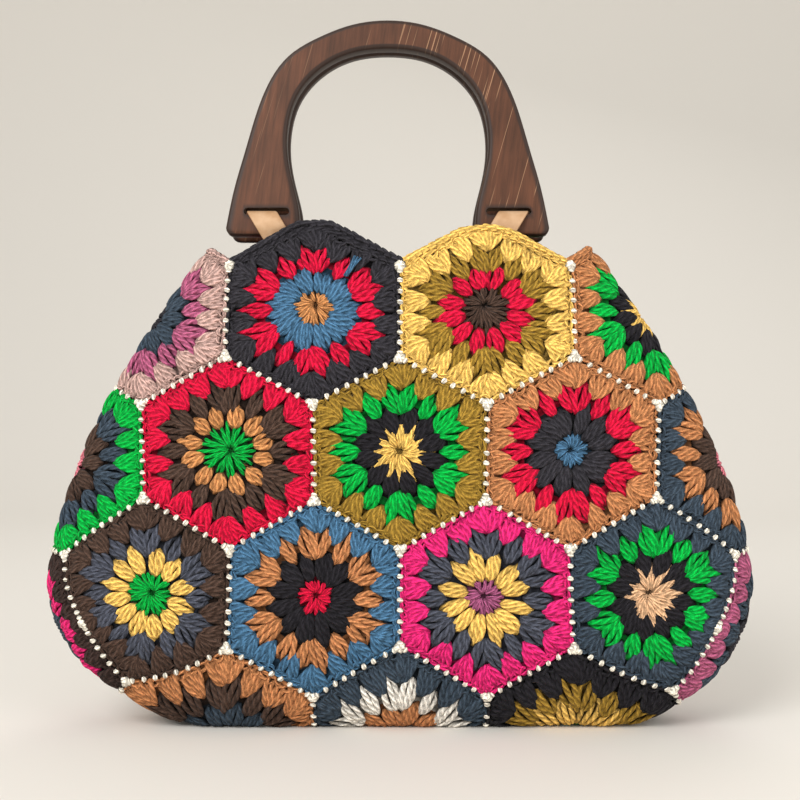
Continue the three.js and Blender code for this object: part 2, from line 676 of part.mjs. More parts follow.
function tabMesh(sideX, sideY) {
  const outer = TAB_INNER_RADIUS + TAB_LEATHER;
  const across = (z) => {
    const drift = TAB_SLANT * (HINGE_Z + outer - z) - TAB_FROM_SLOT_MIDDLE;
    return HANDLE_OFFSET + sideX * (SLOT_X - drift);
  };
  const tail = [HINGE_Z - outer, (HINGE_Z - outer + TAB_TAIL_END_Z) / 2, TAB_TAIL_END_Z].map((z) => {
    const edges = [-TAB_WIDTH / 2, TAB_WIDTH / 2].map((shift) => clothDepth(across(z) + shift, z));
    const inside = Math.min(...edges) - MOTIF_THICKNESS / 2 - CONTACT_GAP;
    return new THREE.Vector2(HINGE_Y - inside, z - HINGE_Z);
  });
  const underside = tail.map((p) => new THREE.Vector2(p.x + 2 * TAB_LEATHER, p.y));
  const start = underside[0].angle() + Math.acos(Math.min(1, outer / underside[0].length())) - 2 * Math.PI;
  const finish = tail[0].angle() - Math.acos(Math.min(1, outer / tail[0].length()));
  const loop = Array.from({ length: TAB_TURNS + 1 }, (_, i) => {
    const angle = start + ((finish - start) * i) / TAB_TURNS;
    return new THREE.Vector2(outer * Math.cos(angle), outer * Math.sin(angle));
  });
  const shape = new THREE.Shape([...underside.toReversed(), ...loop, ...tail]);
  const eye = new THREE.Path();
  eye.absarc(0, 0, TAB_INNER_RADIUS, 0, 2 * Math.PI, true);
  shape.holes.push(eye);
  const strap = new THREE.ExtrudeGeometry(shape, { depth: TAB_WIDTH, bevelEnabled: false, curveSegments: TAB_TURNS / 2 });
  const points = strap.getAttribute("position");
  for (let i = 0; i < points.count; i++) {
    const [inwards, up, along] = [points.getX(i), points.getY(i), points.getZ(i)];
    const x = across(HINGE_Z + up) - sideY * (along - TAB_WIDTH / 2);
    points.setXYZ(i, x, sideY * (HINGE_Y - inwards), HINGE_Z + up);
  }
  return strap;
}

for (const [end, sideY] of [["front", -1], ["rear", 1]]) {
  addPiece(`${end}_tab_left`, tabMesh(-1, sideY));
  addPiece(`${end}_tab_right`, tabMesh(1, sideY));
}

export default bag;
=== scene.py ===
import bpy
import numpy as np
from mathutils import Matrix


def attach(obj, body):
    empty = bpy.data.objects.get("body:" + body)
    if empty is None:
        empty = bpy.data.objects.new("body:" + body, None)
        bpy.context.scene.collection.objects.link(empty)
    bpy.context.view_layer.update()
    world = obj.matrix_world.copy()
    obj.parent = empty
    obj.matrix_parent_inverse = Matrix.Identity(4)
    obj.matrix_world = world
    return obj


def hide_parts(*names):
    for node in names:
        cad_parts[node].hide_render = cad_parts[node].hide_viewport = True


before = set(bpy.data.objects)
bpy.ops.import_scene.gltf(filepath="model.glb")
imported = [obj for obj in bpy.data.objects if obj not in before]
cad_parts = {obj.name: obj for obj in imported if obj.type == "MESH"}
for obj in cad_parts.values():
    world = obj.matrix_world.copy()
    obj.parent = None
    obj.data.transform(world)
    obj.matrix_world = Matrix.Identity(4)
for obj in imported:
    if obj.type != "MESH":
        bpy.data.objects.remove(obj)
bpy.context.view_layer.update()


# Camera: a level view from straight in front, at the height of the bag's shoulders.
# The bag fills the frame, seen from arm's length.
CAMERA_DISTANCE = 0.7
CAMERA_HEIGHT = 0.1725
CAMERA_LENS = 58.5
CAMERA_SENSOR = 36


def put_in_scene(name, data):
    """An object made of the given data, added to the scene at the origin."""
    made = bpy.data.objects.new(name, data)
    bpy.context.scene.collection.objects.link(made)
    return made


camera = put_in_scene("camera", bpy.data.cameras.new("camera"))
camera.data.lens = CAMERA_LENS
camera.data.sensor_width = CAMERA_SENSOR
camera.location = (0, -CAMERA_DISTANCE, CAMERA_HEIGHT)
camera.rotation_euler = (np.pi / 2, 0, 0)
bpy.context.scene.camera = camera


# Sewn cloth: 27 hexagon motifs joined edge to edge into one pouch, nine in front, nine behind,
# three folded round each side and three under the base. The sewn sheet slides over the form
# of a filled pouch until its stitches are evenly spread.
MM = 0.001
MOTIF_WIDTH = 86
MOTIF_SIDE = MOTIF_WIDTH / np.sqrt(3)
MOTIF_THICKNESS = 6
HALF_WIDTH = 184.5
MOUTH_NARROWING = 94
SHOULDER_Z = 80
MOUTH_Z = 265
NARROWING_POWER = 1.6
HALF_DEPTH = 35
MOUTH_HALF_DEPTH = 29
DEPTH_SHOULDER_Z = 120
FLATTENING_POWER = 1.5
BASE_ROUND = 72
BASE_PRESS = 4
BASE_CORNER = 44
BASE_CORNER_Z = 76
BASE_CORNER_END = 0.999
BASE_LEVEL = MOTIF_THICKNESS / 2
SIDE_ROUND_LOW = 0.2
SIDE_ROUND_HIGH = 0.86
SIDE_ROUND_FROM_Z = 70
SIDE_ROUND_TO_Z = 160
FORM_POWER = 2.2
ROW_Z = {1: 223, 2: 147, 3: 74}
ROW_SPACING = {1: 85, 2: 86, 3: 83.5, 4: 87}
SIDE_Z = {1: 213, 2: 137, 3: 46}
END_CORNER_X = 163
END_CORNER_Z = 47
BASE_FOLD = 0.7
END_WALL_FOLD = 0.8
SIDE_FOLD_REACH = 30
EVENED_STEPS = 4
EVENING_SWEEPS = 120
HOLD = 3
FRONT_GATHER = 0.95
SIDE_GATHER = 0.95
BASE_STRETCH = 1.2
MAX_SLACK = 6
LATTICE = 6
SEWING_ROUNDS = 8
SETTLE_STEPS = 700
SETTLE_RATE = 0.3
SETTLE_DAMPING = 0.95
LONGEST_STEP = 8
SLUMP_LEFT = 11
SLUMP_RIGHT = 4
SLUMP_FROM_X = 100
SLUMP_RUN = 50
SLUMP_TO_Z = 85
CELL = MOTIF_SIDE / LATTICE


def smooth_step(value, start, run):
    """Rises from 0 at the start to 1 a run further on, as t^2 (3 - 2 t)."""
    t = np.clip((value - start) / run, 0, 1)
    return t**2 * (3 - 2 * t)


def form_value(p):
    """Zero on the middle of the cloth, below zero inside: (|y / depth|^P + rim^P)^(1/P) - 1, where the half
    width and half depth shrink towards the mouth and rim grows towards the sides and the base."""
    x, y, z = np.abs(p[..., 0]), np.abs(p[..., 1]), p[..., 2]
    narrowing = np.maximum(0, (z - SHOULDER_Z) / (MOUTH_Z - SHOULDER_Z))
    cornering = np.clip((BASE_CORNER_Z - z) / BASE_CORNER_Z, 0, 1)
    half_width = (HALF_WIDTH - MOUTH_NARROWING * narrowing**NARROWING_POWER
                  - BASE_CORNER * (1 - np.sqrt(1 - BASE_CORNER_END * cornering**2)))
    flattening = np.maximum(0, (z - DEPTH_SHOULDER_Z) / (MOUTH_Z - DEPTH_SHOULDER_Z))
    half_depth = HALF_DEPTH - (HALF_DEPTH - MOUTH_HALF_DEPTH) * flattening**FLATTENING_POWER
    rising = smooth_step(z, SIDE_ROUND_FROM_Z, SIDE_ROUND_TO_Z - SIDE_ROUND_FROM_Z)
    round_share = SIDE_ROUND_LOW + (SIDE_ROUND_HIGH - SIDE_ROUND_LOW) * rising
    side_round = round_share * half_width
    towards_side = np.maximum(0, x - half_width + side_round) / side_round
    towards_base = np.maximum(0, BASE_LEVEL - BASE_PRESS + BASE_ROUND - z) / BASE_ROUND
    rim = np.hypot(towards_side, towards_base)
    return ((y / half_depth)**FORM_POWER + rim**FORM_POWER)**(1 / FORM_POWER) - 1


def form_gradient(p):
    """Slope of the form by central differences along x, y and z."""
    reach = 0.01
    steps = reach * np.eye(3)
    return np.stack([(form_value(p + s) - form_value(p - s)) / (2 * reach) for s in steps], axis=-1)


def unit(v):
    """The same directions with length one."""
    return v / np.linalg.norm(v, axis=-1, keepdims=True)


def onto_form(p, rounds):
    """Newton steps along the slope, each no longer than LONGEST_STEP, until the point lies on the form."""
    for _ in range(rounds):
        slope = form_gradient(p)
        length = np.sqrt((slope**2).sum(-1) + 1e-9)
        step = np.clip(form_value(p) / length, -LONGEST_STEP, LONGEST_STEP) / length
        p = p - step[..., None] * slope
    return p


# The flat lattice of one motif: corner k stands at 30 + 60 k degrees, edge k runs from corner k to k + 1
corner_steps = np.array([[1, 0], [0, 1], [-1, 1], [-1, 0], [0, -1], [1, -1]])
lattice_q, lattice_r = np.meshgrid(*2 * [np.arange(-LATTICE, LATTICE + 1)], indexing="ij")
in_hexagon = np.abs(lattice_q + lattice_r) <= LATTICE
lattice = np.stack([lattice_q[in_hexagon], lattice_r[in_hexagon]], axis=1)
lattice_u = CELL * np.cos(np.pi / 6) * lattice[:, 0]
lattice_v = CELL * (lattice[:, 0] / 2 + lattice[:, 1])
LATTICE_PAD = LATTICE + 4
lattice_index = np.full((2 * LATTICE_PAD + 1, 2 * LATTICE_PAD + 1), -1)
lattice_index[lattice[:, 0] + LATTICE_PAD, lattice[:, 1] + LATTICE_PAD] = np.arange(len(lattice))


def lattice_at(q, r):
    """Lattice point at axial place q, r, or -1 outside the hexagon."""
    q = np.clip(q, -LATTICE_PAD, LATTICE_PAD)
    r = np.clip(r, -LATTICE_PAD, LATTICE_PAD)
    return lattice_index[q + LATTICE_PAD, r + LATTICE_PAD]


def edge_points(k):
    """Lattice points along edge k, from corner k to corner k + 1."""
    share = np.arange(LATTICE + 1)[:, None]
    places = corner_steps[k] * (LATTICE - share) + corner_steps[(k + 1) % 6] * share
    return lattice_at(places[:, 0], places[:, 1])


motifs = [(sheet, row, i - row / 2) for sheet in ("front", "back") for row in (1, 2, 3) for i in range(row + 1)]
motifs += [("side", row, side) for side in (-1, 1) for row in (1, 2, 3)]
motifs += [("base", 4, place) for place in (-1, 0, 1)]
motif_at = {motif: m for m, motif in enumerate(motifs)}

# Seams: edge of one motif sewn to edge of another, the two running opposite ways
seams = []
for sheet in ("front", "back"):
    for row in (1, 2, 3):
        for i in range(row + 1):
            here = (sheet, row, i - row / 2)
            if i < row:
                seams.append((here, 5, (sheet, row, i + 1 - row / 2), 2))
            if row < 3:
                seams.append((here, 3, (sheet, row + 1, i - (row + 1) / 2), 0))
                seams.append((here, 4, (sheet, row + 1, i + 1 - (row + 1) / 2), 1))
for row in (1, 2, 3):
    low = min(row + 1, 3)
    near_edge, far_edge = (4, 3) if row == 3 else (0, 1)
    for side, edge, sheet, joined_row, joined_edge in (
            (1, 2, "front", row, 5), (1, 0, "back", row, 2), (-1, 5, "front", row, 2), (-1, 1, "back", row, 5),
            (1, 3, "front", low, near_edge), (1, 5, "back", low, far_edge),
            (-1, 4, "front", low, far_edge), (-1, 2, "back", low, near_edge)):
        end = joined_row / 2 * (side if sheet == "front" else -side)
        seams.append((("side", row, side), edge, (sheet, joined_row, end), joined_edge))
    for side, edge, base_edge, side_edge in ((1, 4, 5, 1), (-1, 3, 2, 0)):
        below = (("base", 4, side), base_edge) if row == 3 else (("side", row + 1, side), side_edge)
        seams.append((("side", row, side), edge, *below))
for place in (-1, 0, 1):
    here = ("base", 4, place)
    seams += [(here, 0, ("front", 3, place + 0.5), 3), (here, 1, ("front", 3, place - 0.5), 4),
              (here, 3, ("back", 3, 0.5 - place), 3), (here, 4, ("back", 3, -0.5 - place), 4)]
    if place < 1:
        seams.append((here, 5, ("base", 4, place + 1), 2))
seams = [(motif_at[a], edge_a, motif_at[b], edge_b) for a, edge_a, b, edge_b in seams]

# Sewn points become one: each takes the lowest label of the points it is sewn to
labels = np.arange(len(motifs) * len(lattice))
sewn_a = np.concatenate([a * len(lattice) + edge_points(edge_a) for a, edge_a, b, edge_b in seams])
sewn_b = np.concatenate([b * len(lattice) + edge_points(edge_b)[::-1] for a, edge_a, b, edge_b in seams])
for _ in range(SEWING_ROUNDS):
    lowest = np.minimum(labels[sewn_a], labels[sewn_b])
    np.minimum.at(labels, sewn_a, lowest)
    np.minimum.at(labels, sewn_b, lowest)
cloth_nodes = np.unique(labels, return_inverse=True)[1].reshape(len(motifs), len(lattice))
node_count = cloth_nodes.max() + 1


def start_points(sheet, row, place):
    """Where a motif lies before settling: front and back upright, the lowest side motifs as end walls,
    the other side motifs and the base folded in half round the edge."""
    u, v = lattice_u, lattice_v
    spacing = place * ROW_SPACING[row]
    level = np.zeros_like(u)
    if sheet == "front":
        return np.stack([spacing + u, level - HALF_DEPTH, ROW_Z[row] + v], axis=1)
    if sheet == "back":
        return np.stack([-spacing - u, level + HALF_DEPTH, ROW_Z[row] + v], axis=1)
    if sheet == "base":
        return np.stack([spacing + u, -BASE_FOLD * v, BASE_FOLD * np.abs(v)], axis=1)
    along = place * u / 2 - v * np.sqrt(3) / 2
    across = place * u * np.sqrt(3) / 2 + v / 2
    if row == 3:
        return np.stack([level + place * HALF_WIDTH, END_WALL_FOLD * across, SIDE_Z[row] - along], axis=1)
    folded = np.abs(across)
    reach = (1 + row / 2) * MOTIF_WIDTH + along / 2 - folded * np.sqrt(3) / 2
    y = np.sign(across) * HALF_DEPTH * np.minimum(1, folded / SIDE_FOLD_REACH)
    return np.stack([place * reach, y, ROW_Z[row] - along * np.sqrt(3) / 2 - folded / 2], axis=1)


def gathered(values, places):
    """Sum of three-part values at each cloth node."""
    return np.stack([np.bincount(places, values[:, c], node_count) for c in range(3)], axis=1)


starts = np.concatenate([start_points(*motif) for motif in motifs])
cloth_at = gathered(starts, cloth_nodes.ravel()) / np.bincount(cloth_nodes.ravel())[:, None]

# Springs between neighbouring lattice points; front, back and the lowest sides are gathered, the base stretched
spring_ends = []
spring_rest = []
for m, (sheet, row, place) in enumerate(motifs):
    ease = {"base": BASE_STRETCH, "side": SIDE_GATHER if row == 3 else 1}.get(sheet, FRONT_GATHER)
    for step in corner_steps[:3]:
        other = lattice_at(lattice[:, 0] + step[0], lattice[:, 1] + step[1])
        ends = np.stack([cloth_nodes[m, other >= 0], cloth_nodes[m, other[other >= 0]]], axis=1)
        spring_ends.append(np.sort(ends, axis=1))
        spring_rest.append(np.full(len(ends), ease * CELL))
spring_ends, first = np.unique(np.concatenate(spring_ends), axis=0, return_index=True)
spring_rest = np.concatenate(spring_rest)[first]

# The middle of every motif is held over its place, and so are the four lower outer corners
holds = []
motif_middle = cloth_nodes[:, lattice_at(0, 0)]
for m, (sheet, row, place) in enumerate(motifs):
    spacing = place * ROW_SPACING[row]
    held = {"front": ((0, spacing), (2, ROW_Z.get(row))), "back": ((0, -spacing), (2, ROW_Z.get(row))),
            "side": ((1, 0), (2, SIDE_Z.get(row))), "base": ((0, spacing), (1, 0))}[sheet]
    holds += [(motif_middle[m], axis, value) for axis, value in held]
corner_nodes = []
for sheet, side in (("front", -1), ("front", 1), ("back", -1), ("back", 1)):
    corner = LATTICE * corner_steps[5 if side > 0 else 3]
    k = cloth_nodes[motif_at[(sheet, 3, 1.5 * side)], lattice_at(*corner)]
    corner_nodes.append(k)
    holds += [(k, 0, (side if sheet == "front" else -side) * END_CORNER_X), (k, 2, END_CORNER_Z)]
hold_node, hold_axis, hold_at = (np.array(part) for part in zip(*holds))

speed = np.zeros_like(cloth_at)
for _ in range(SETTLE_STEPS):
    reach = cloth_at[spring_ends[:, 1]] - cloth_at[spring_ends[:, 0]]
    pull = 0.5 - 0.5 * np.minimum(spring_rest**2 / (reach**2).sum(1), MAX_SLACK)
    pulled = pull[:, None] * reach
    force = gathered(pulled, spring_ends[:, 0]) - gathered(pulled, spring_ends[:, 1])
    force[hold_node, hold_axis] += HOLD * (hold_at - cloth_at[hold_node, hold_axis])
    speed = SETTLE_DAMPING * speed + SETTLE_RATE * force
    cloth_at = onto_form(cloth_at + SETTLE_RATE * speed, 1)

# Round the lower corners every node then moves to the middle of its neighbours
evened = np.zeros(node_count, bool)
evened[corner_nodes] = True
for _ in range(EVENED_STEPS):
    touching = evened[spring_ends].any(axis=1)
    evened[spring_ends[touching]] = True
both_ways = np.concatenate([spring_ends, spring_ends[:, ::-1]])
neighbour_count = np.bincount(both_ways[:, 0], minlength=node_count)[:, None]
for _ in range(EVENING_SWEEPS):
    middle = gathered(cloth_at[both_ways[:, 1]], both_ways[:, 0]) / neighbour_count
    cloth_at[evened] = onto_form(middle[evened], 2)


def cloth_point(m, u, v):
    """Point of motif m at flat place u, v on the settled cloth, weighted from the three lattice points round
    it, with the direction that faces out of the bag. Where the bag rests on its base the cloth is level, and
    its two empty lower ends draw up by the slump times a smooth step outwards, fading with height."""
    q = u / (CELL * np.cos(np.pi / 6))
    r = v / CELL - q / 2
    q0, r0 = np.floor(q + 1e-6).astype(int), np.floor(r + 1e-6).astype(int)
    a, b = q - q0, r - r0
    upper = a + b > 1
    weights = np.where(upper, [a + b - 1, 1 - a, 1 - b], [1 - a - b, a, b])
    places = np.stack([lattice_at(q0 + upper, r0 + upper), lattice_at(q0 + ~upper, r0 + upper),
                       lattice_at(q0 + upper, r0 + ~upper)])
    weights = np.where(places >= 0, weights, 0)
    p = (weights[..., None] * cloth_at[cloth_nodes[m, places]]).sum(0) / weights.sum(0)[..., None]
    p = onto_form(p, 3)
    out = unit(form_gradient(p))
    resting = p[..., 2] < BASE_LEVEL
    p[resting, 2] = BASE_LEVEL
    out[resting] = (0, 0, -1)
    outward = smooth_step(np.abs(p[..., 0]), SLUMP_FROM_X, SLUMP_RUN)
    slump = np.where(p[..., 0] < 0, SLUMP_LEFT, SLUMP_RIGHT) * outward
    p[..., 2] += slump * np.clip(1 - p[..., 2] / SLUMP_TO_Z, 0, 1)
    return p, out


# Yarn: thick soft cotton of three plies, dyed in plain colours and worked tightly with a hook.
# Each strand shows its twist, with painted highlights on the crests and painted shade between its plies,
# on its underside and in the crevices between strands.
YARN_PLIES = 3
YARN_TURNS = 1.9
YARN_STREAKS = (10, 6, 1)
YARN_FUZZ = 1500
YARN_BUMP = 0.0005
YARN_COLOURS = {
    "charcoal": "#333136", "black": "#242226", "steel_blue": "#486f8e", "red": "#d3163c",
    "orange_tan": "#c98a55", "yellow": "#efc266", "olive": "#9b7a30", "brown": "#4c3a31", "green": "#05ab40",
    "tan": "#be7f52", "magenta": "#e32a74", "navy": "#3c4854", "mauve": "#b05c7c", "beige": "#c3a096",
    "cream": "#f3ebda", "purple": "#a3577c", "pink": "#e07f8c", "white": "#ebe5da", "dark_brown": "#3a2c28",
    "sand": "#dcb088", "slate": "#4b4e59",
}


def paint(code):
    """Linear colour of a written colour code."""
    shown = np.array([int(code[i:i + 2], 16) for i in (1, 3, 5)]) / 255
    linear = np.where(shown <= 0.04045, shown / 12.92, ((shown + 0.055) / 1.055)**2.4)
    return (*linear, 1)


def wire(tree, kind, inputs=(), **settings):
    """Adds a node, sets its settings, and links or sets its inputs by number or name."""
    made = tree.nodes.new(kind)
    for key, value in settings.items():
        setattr(made, key, value)
    for key, value in dict(inputs).items():
        if isinstance(value, bpy.types.NodeSocket):
            tree.links.new(value, made.inputs[key])
        else:
            made.inputs[key].default_value = value
    return made


def start_material(name, values):
    """A material with constant values on its Principled shader. Gives the material, its tree and its shader."""
    made = bpy.data.materials.new(name)
    made.use_nodes = True
    shader = made.node_tree.nodes["Principled BSDF"]
    for key, value in values.items():
        shader.inputs[key].default_value = value
    return made, made.node_tree, shader


def link_colour_and_bump(tree, shader, colour, height, strength, distance):
    """Links a colour and a bumped normal to the shader of a material."""
    bump = wire(tree, "ShaderNodeBump", {"Height": height, "Strength": strength, "Distance": distance})
    tree.links.new(colour, shader.inputs["Base Color"])
    tree.links.new(bump.outputs[0], shader.inputs["Normal"])


def yarn_twist_group():
    """Ridge = sine of (plies x turn round the strand + turns x length); streaks are noise along the strand and
    fuzz is fine noise. The dye gets painted highlights on the crests and painted shade between the plies, on
    the undersides and in the crevices; it also varies with the streaks and fuzz and from strand to strand."""
    tree = bpy.data.node_groups.new("yarn_twist", "ShaderNodeTree")
    tree.interface.new_socket("Dye", in_out="INPUT", socket_type="NodeSocketColor")
    tree.interface.new_socket("Colour", in_out="OUTPUT", socket_type="NodeSocketColor")
    tree.interface.new_socket("Height", in_out="OUTPUT", socket_type="NodeSocketFloat")
    given = tree.nodes.new("NodeGroupInput")
    strand = wire(tree, "ShaderNodeUVMap", uv_map="strand").outputs[0]
    parts = wire(tree, "ShaderNodeSeparateXYZ", {0: strand})
    phase = 0
    for part, turns in enumerate((YARN_PLIES, YARN_TURNS)):
        phase = wire(tree, "ShaderNodeMath", {0: parts.outputs[part], 1: 2 * np.pi * turns, 2: phase},
                     operation="MULTIPLY_ADD").outputs[0]
    ridge = wire(tree, "ShaderNodeMath", {0: phase}, operation="SINE").outputs[0]
    stretched = wire(tree, "ShaderNodeMapping", {0: strand, "Scale": YARN_STREAKS})
    streaks = wire(tree, "ShaderNodeTexNoise", {"Vector": stretched.outputs[0], "Scale": 1, "Detail": 3},
                   noise_dimensions="2D").outputs[0]
    where = wire(tree, "ShaderNodeTexCoord").outputs["Object"]
    fuzz = wire(tree, "ShaderNodeTexNoise",
                {"Vector": where, "Scale": YARN_FUZZ, "Detail": 3, "Roughness": 0.7}).outputs[0]
    # depth is painted shade: none on a strand's crest, full on its underside and where it sinks between others
    depth = wire(tree, "ShaderNodeAttribute", attribute_name="depth").outputs["Fac"]
    tone = wire(tree, "ShaderNodeAttribute", attribute_name="tone").outputs["Fac"]
    # Each effect on the light of the dye, its range, and the light at both ends of the range: ridge and depth
    # paint highlights and shade, while streaks, tone and fuzz are the yarn's own variation
    light = 1
    for effect, low, high, light_low, light_high, curve in (
            (ridge, -1, 0.7, 0.6, 1.16, "LINEAR"), (streaks, 0.25, 0.75, 0.74, 1.28, "LINEAR"),
            (depth, 0.1, 0.68, 1.14, 0.22, "SMOOTHSTEP"), (tone, -1, 1, 0.86, 1.12, "LINEAR"),
            (fuzz, 0.3, 0.7, 0.72, 1.3, "LINEAR")):
        lit = wire(tree, "ShaderNodeMapRange", {0: effect, 1: low, 2: high, 3: light_low, 4: light_high},
                   interpolation_type=curve)
        light = wire(tree, "ShaderNodeMath", {0: light, 1: lit.outputs[0]}, operation="MULTIPLY").outputs[0]
    shaded = wire(tree, "ShaderNodeVectorMath", {0: given.outputs["Dye"], "Scale": light}, operation="SCALE")
    height = wire(tree, "ShaderNodeMath", {0: streaks, 1: 0.5, 2: ridge}, operation="MULTIPLY_ADD")
    wire(tree, "NodeGroupOutput", {"Colour": shaded.outputs[0], "Height": height.outputs[0]})
    return tree


yarn_twist = yarn_twist_group()
yarns = {}
for colour, code in YARN_COLOURS.items():
    yarns[colour], tree, shader = start_material("yarn_" + colour, {
        "Roughness": 0.88, "Specular IOR Level": 0.1, "Sheen Weight": 0.03, "Sheen Roughness": 0.4})
    twist = wire(tree, "ShaderNodeGroup", node_tree=yarn_twist)
    twist.inputs["Dye"].default_value = paint(code)
    link_colour_and_bump(tree, shader, twist.outputs["Colour"], twist.outputs["Height"], 1, YARN_BUMP)


# Crocheted motifs: four rounds worked outwards from a ring, each round in its own colour.
# A middle of short stitches, a ring of plump petals, hearts and leaves, then a border of fans that makes the
# hexagon, closed by a chain; every petal, leaf and fan is a cluster of long stitches worked into one place.
CM = 0.1
YARN_RADIUS = 1.7
STRAND_SIDES = 6
STRAND_TURN = 2 * np.pi * (np.arange(STRAND_SIDES) + 0.5) / STRAND_SIDES
# Each style of middle: its reach, then its petals: from, to, half width, how many, strands, openness of tips
MIDDLES = {
    "disc": (8.6, 7.6, 23.8, 5, 12, 4, 0.35),
    "ring": (9.6, 8.4, 22.8, 2.9, 24, 2, 0.5),
    "sun": (12.4, 10.4, 25, 4.7, 12, 3, 0.15),
    "button": (14.4, 12.6, 23.8, 4.5, 12, 3, 0.15),
    "daisy": (9.4, 8.2, 24.6, 4.4, 12, 3, 0.15),
    "marigold": (10, 8.6, 28.5, 5.2, 12, 3, 0.15),
    "star": (17.2, 7.6, 23.8, 5, 12, 4, 0.35),
}
MIDDLE_INNER, STAR_INNER, STAR_HALF_WIDTH = 1.9, 2, 2.7
THIN_YARN, STAR_YARN = 1.15, 1.3
CLOSED_TIP = 0.2
LEAF_INNER, LEAF_OUTER, LEAF_HALF_WIDTH = 19.8, 35, 5
HEART_OUTER, HEART_SPREAD, HEART_HALF_WIDTH = 37.2, 10.6, 5
HEART_INNER_SIDE, HEART_NOTCH = 0.9, 31.6
FAN_INNER, FAN_SIDE, FAN_HALF_WIDTH = 28, 6.1, 7.2
FAN_SPREAD = 0.3
CORNER_FAN_INNER, CORNER_FAN_FROM_CORNER, CORNER_FAN_HALF_WIDTH = 33.5, 6.4, 7
FAN_OUTER = MOTIF_WIDTH / 2 - 1.4
CORNER_RIB_OUTER = MOTIF_SIDE - 2
CHAIN_STITCHES = 10
CHAIN_OVERLAP = 1.25
CHAIN_INSET = 2
CHAIN_HALF_WIDTH = 2.8
EDGE_INSET = 0.9
# Strands lower than SUNK_BELOW mm get extra painted shade, up to the second number, where they sink between
# others
SUNK_BELOW, SUNK_SHADE = 1.6, 0.55
BACKING_SIDES = 48
BACKING_OUTER = (0.03, 0.12, 0.24, 0.4, 0.56, 0.74, 0.9, 0.985)
BACKING_INNER = (0.985, 0.9, 0.78, 0.64, 0.5, 0.36, 0.2, 0.03)
MIDDLE_TO, PETALS_TO, PETALS_TO_IF_CLOSED, LEAVES_TO = 0.2, 0.52, 0.24, 0.74
MOUTH_CORNER, MOUTH_CORNER_UNDER_HANDLE = 45.5, 44
RIM_RISE, RIM_RISE_UNDER_HANDLE = 4.4, 3.2
RIM_STITCH, RIM_STITCH_RADIUS = 4.2, 1.65
RIM_CORE, RIM_CORE_RISE = 2.2, 1.6
RIM_POINTS = 400
TAIL_FROM, TAIL_TO = np.array((16, 19)), np.array((22.5, 29.5))
TAIL_LOW, TAIL_RISE, TAIL_RADIUS = 2.4, 2.2, 0.95
# The posts of each round inside the bag: how many, turned by, from, to, half width
INNER_POSTS = ((12, 0, 2, 9.5, 2.4), (12, 15, 9, 21, 3.4), (12, 0, 20, 32, 4.4), (24, 7.5, 30, 41.5, 4.4))
# Each motif: its style of middle, then the colours of its four rounds
MOTIF_ROUNDS = {
    "front_1a": "ring orange_tan steel_blue red charcoal",
    "front_1b": "sun brown red olive yellow",
    "front_2a": "button green orange_tan brown red",
    "front_2b": "star yellow black green olive",
    "front_2c": "disc steel_blue charcoal red tan",
    "front_3a": "sun green yellow slate brown",
    "front_3b": "disc red black tan steel_blue",
    "front_3c": "daisy purple yellow slate magenta",
    "front_3d": "star sand black green navy",
    "back_1a": "disc yellow brown tan green",
    "back_1b": "star beige navy yellow red",
    "back_2a": "daisy magenta yellow charcoal steel_blue",
    "back_2b": "star tan green olive brown",
    "back_2c": "disc green black orange_tan magenta",
    "back_3a": "disc steel_blue charcoal red tan",
    "back_3b": "sun yellow red beige navy",
    "back_3c": "star yellow navy green olive",
    "back_3d": "disc orange_tan steel_blue yellow charcoal",
    "left_1": "disc charcoal navy mauve beige",
    "left_2": "disc pink brown navy green",
    "left_3": "disc yellow navy magenta dark_brown",
    "right_1": "star yellow black green tan",
    "right_2": "disc pink brown tan navy",
    "right_3": "disc beige charcoal navy mauve",
    "base_a": "disc green navy brown tan",
    "base_b": "disc olive tan white navy",
    "base_c": "marigold green yellow olive black",
}
# Painted shade on each side of a strand, from none on its crest to 1 on its underside
UNDERSIDE_SHADE = 0.5 - 0.5 * np.sin(STRAND_TURN)


def polar(angle, reach):
    """Flat places at an angle in degrees and a distance from the middle."""
    turn = np.radians(angle)
    return np.stack([reach * np.cos(turn), reach * np.sin(turn)], axis=-1)


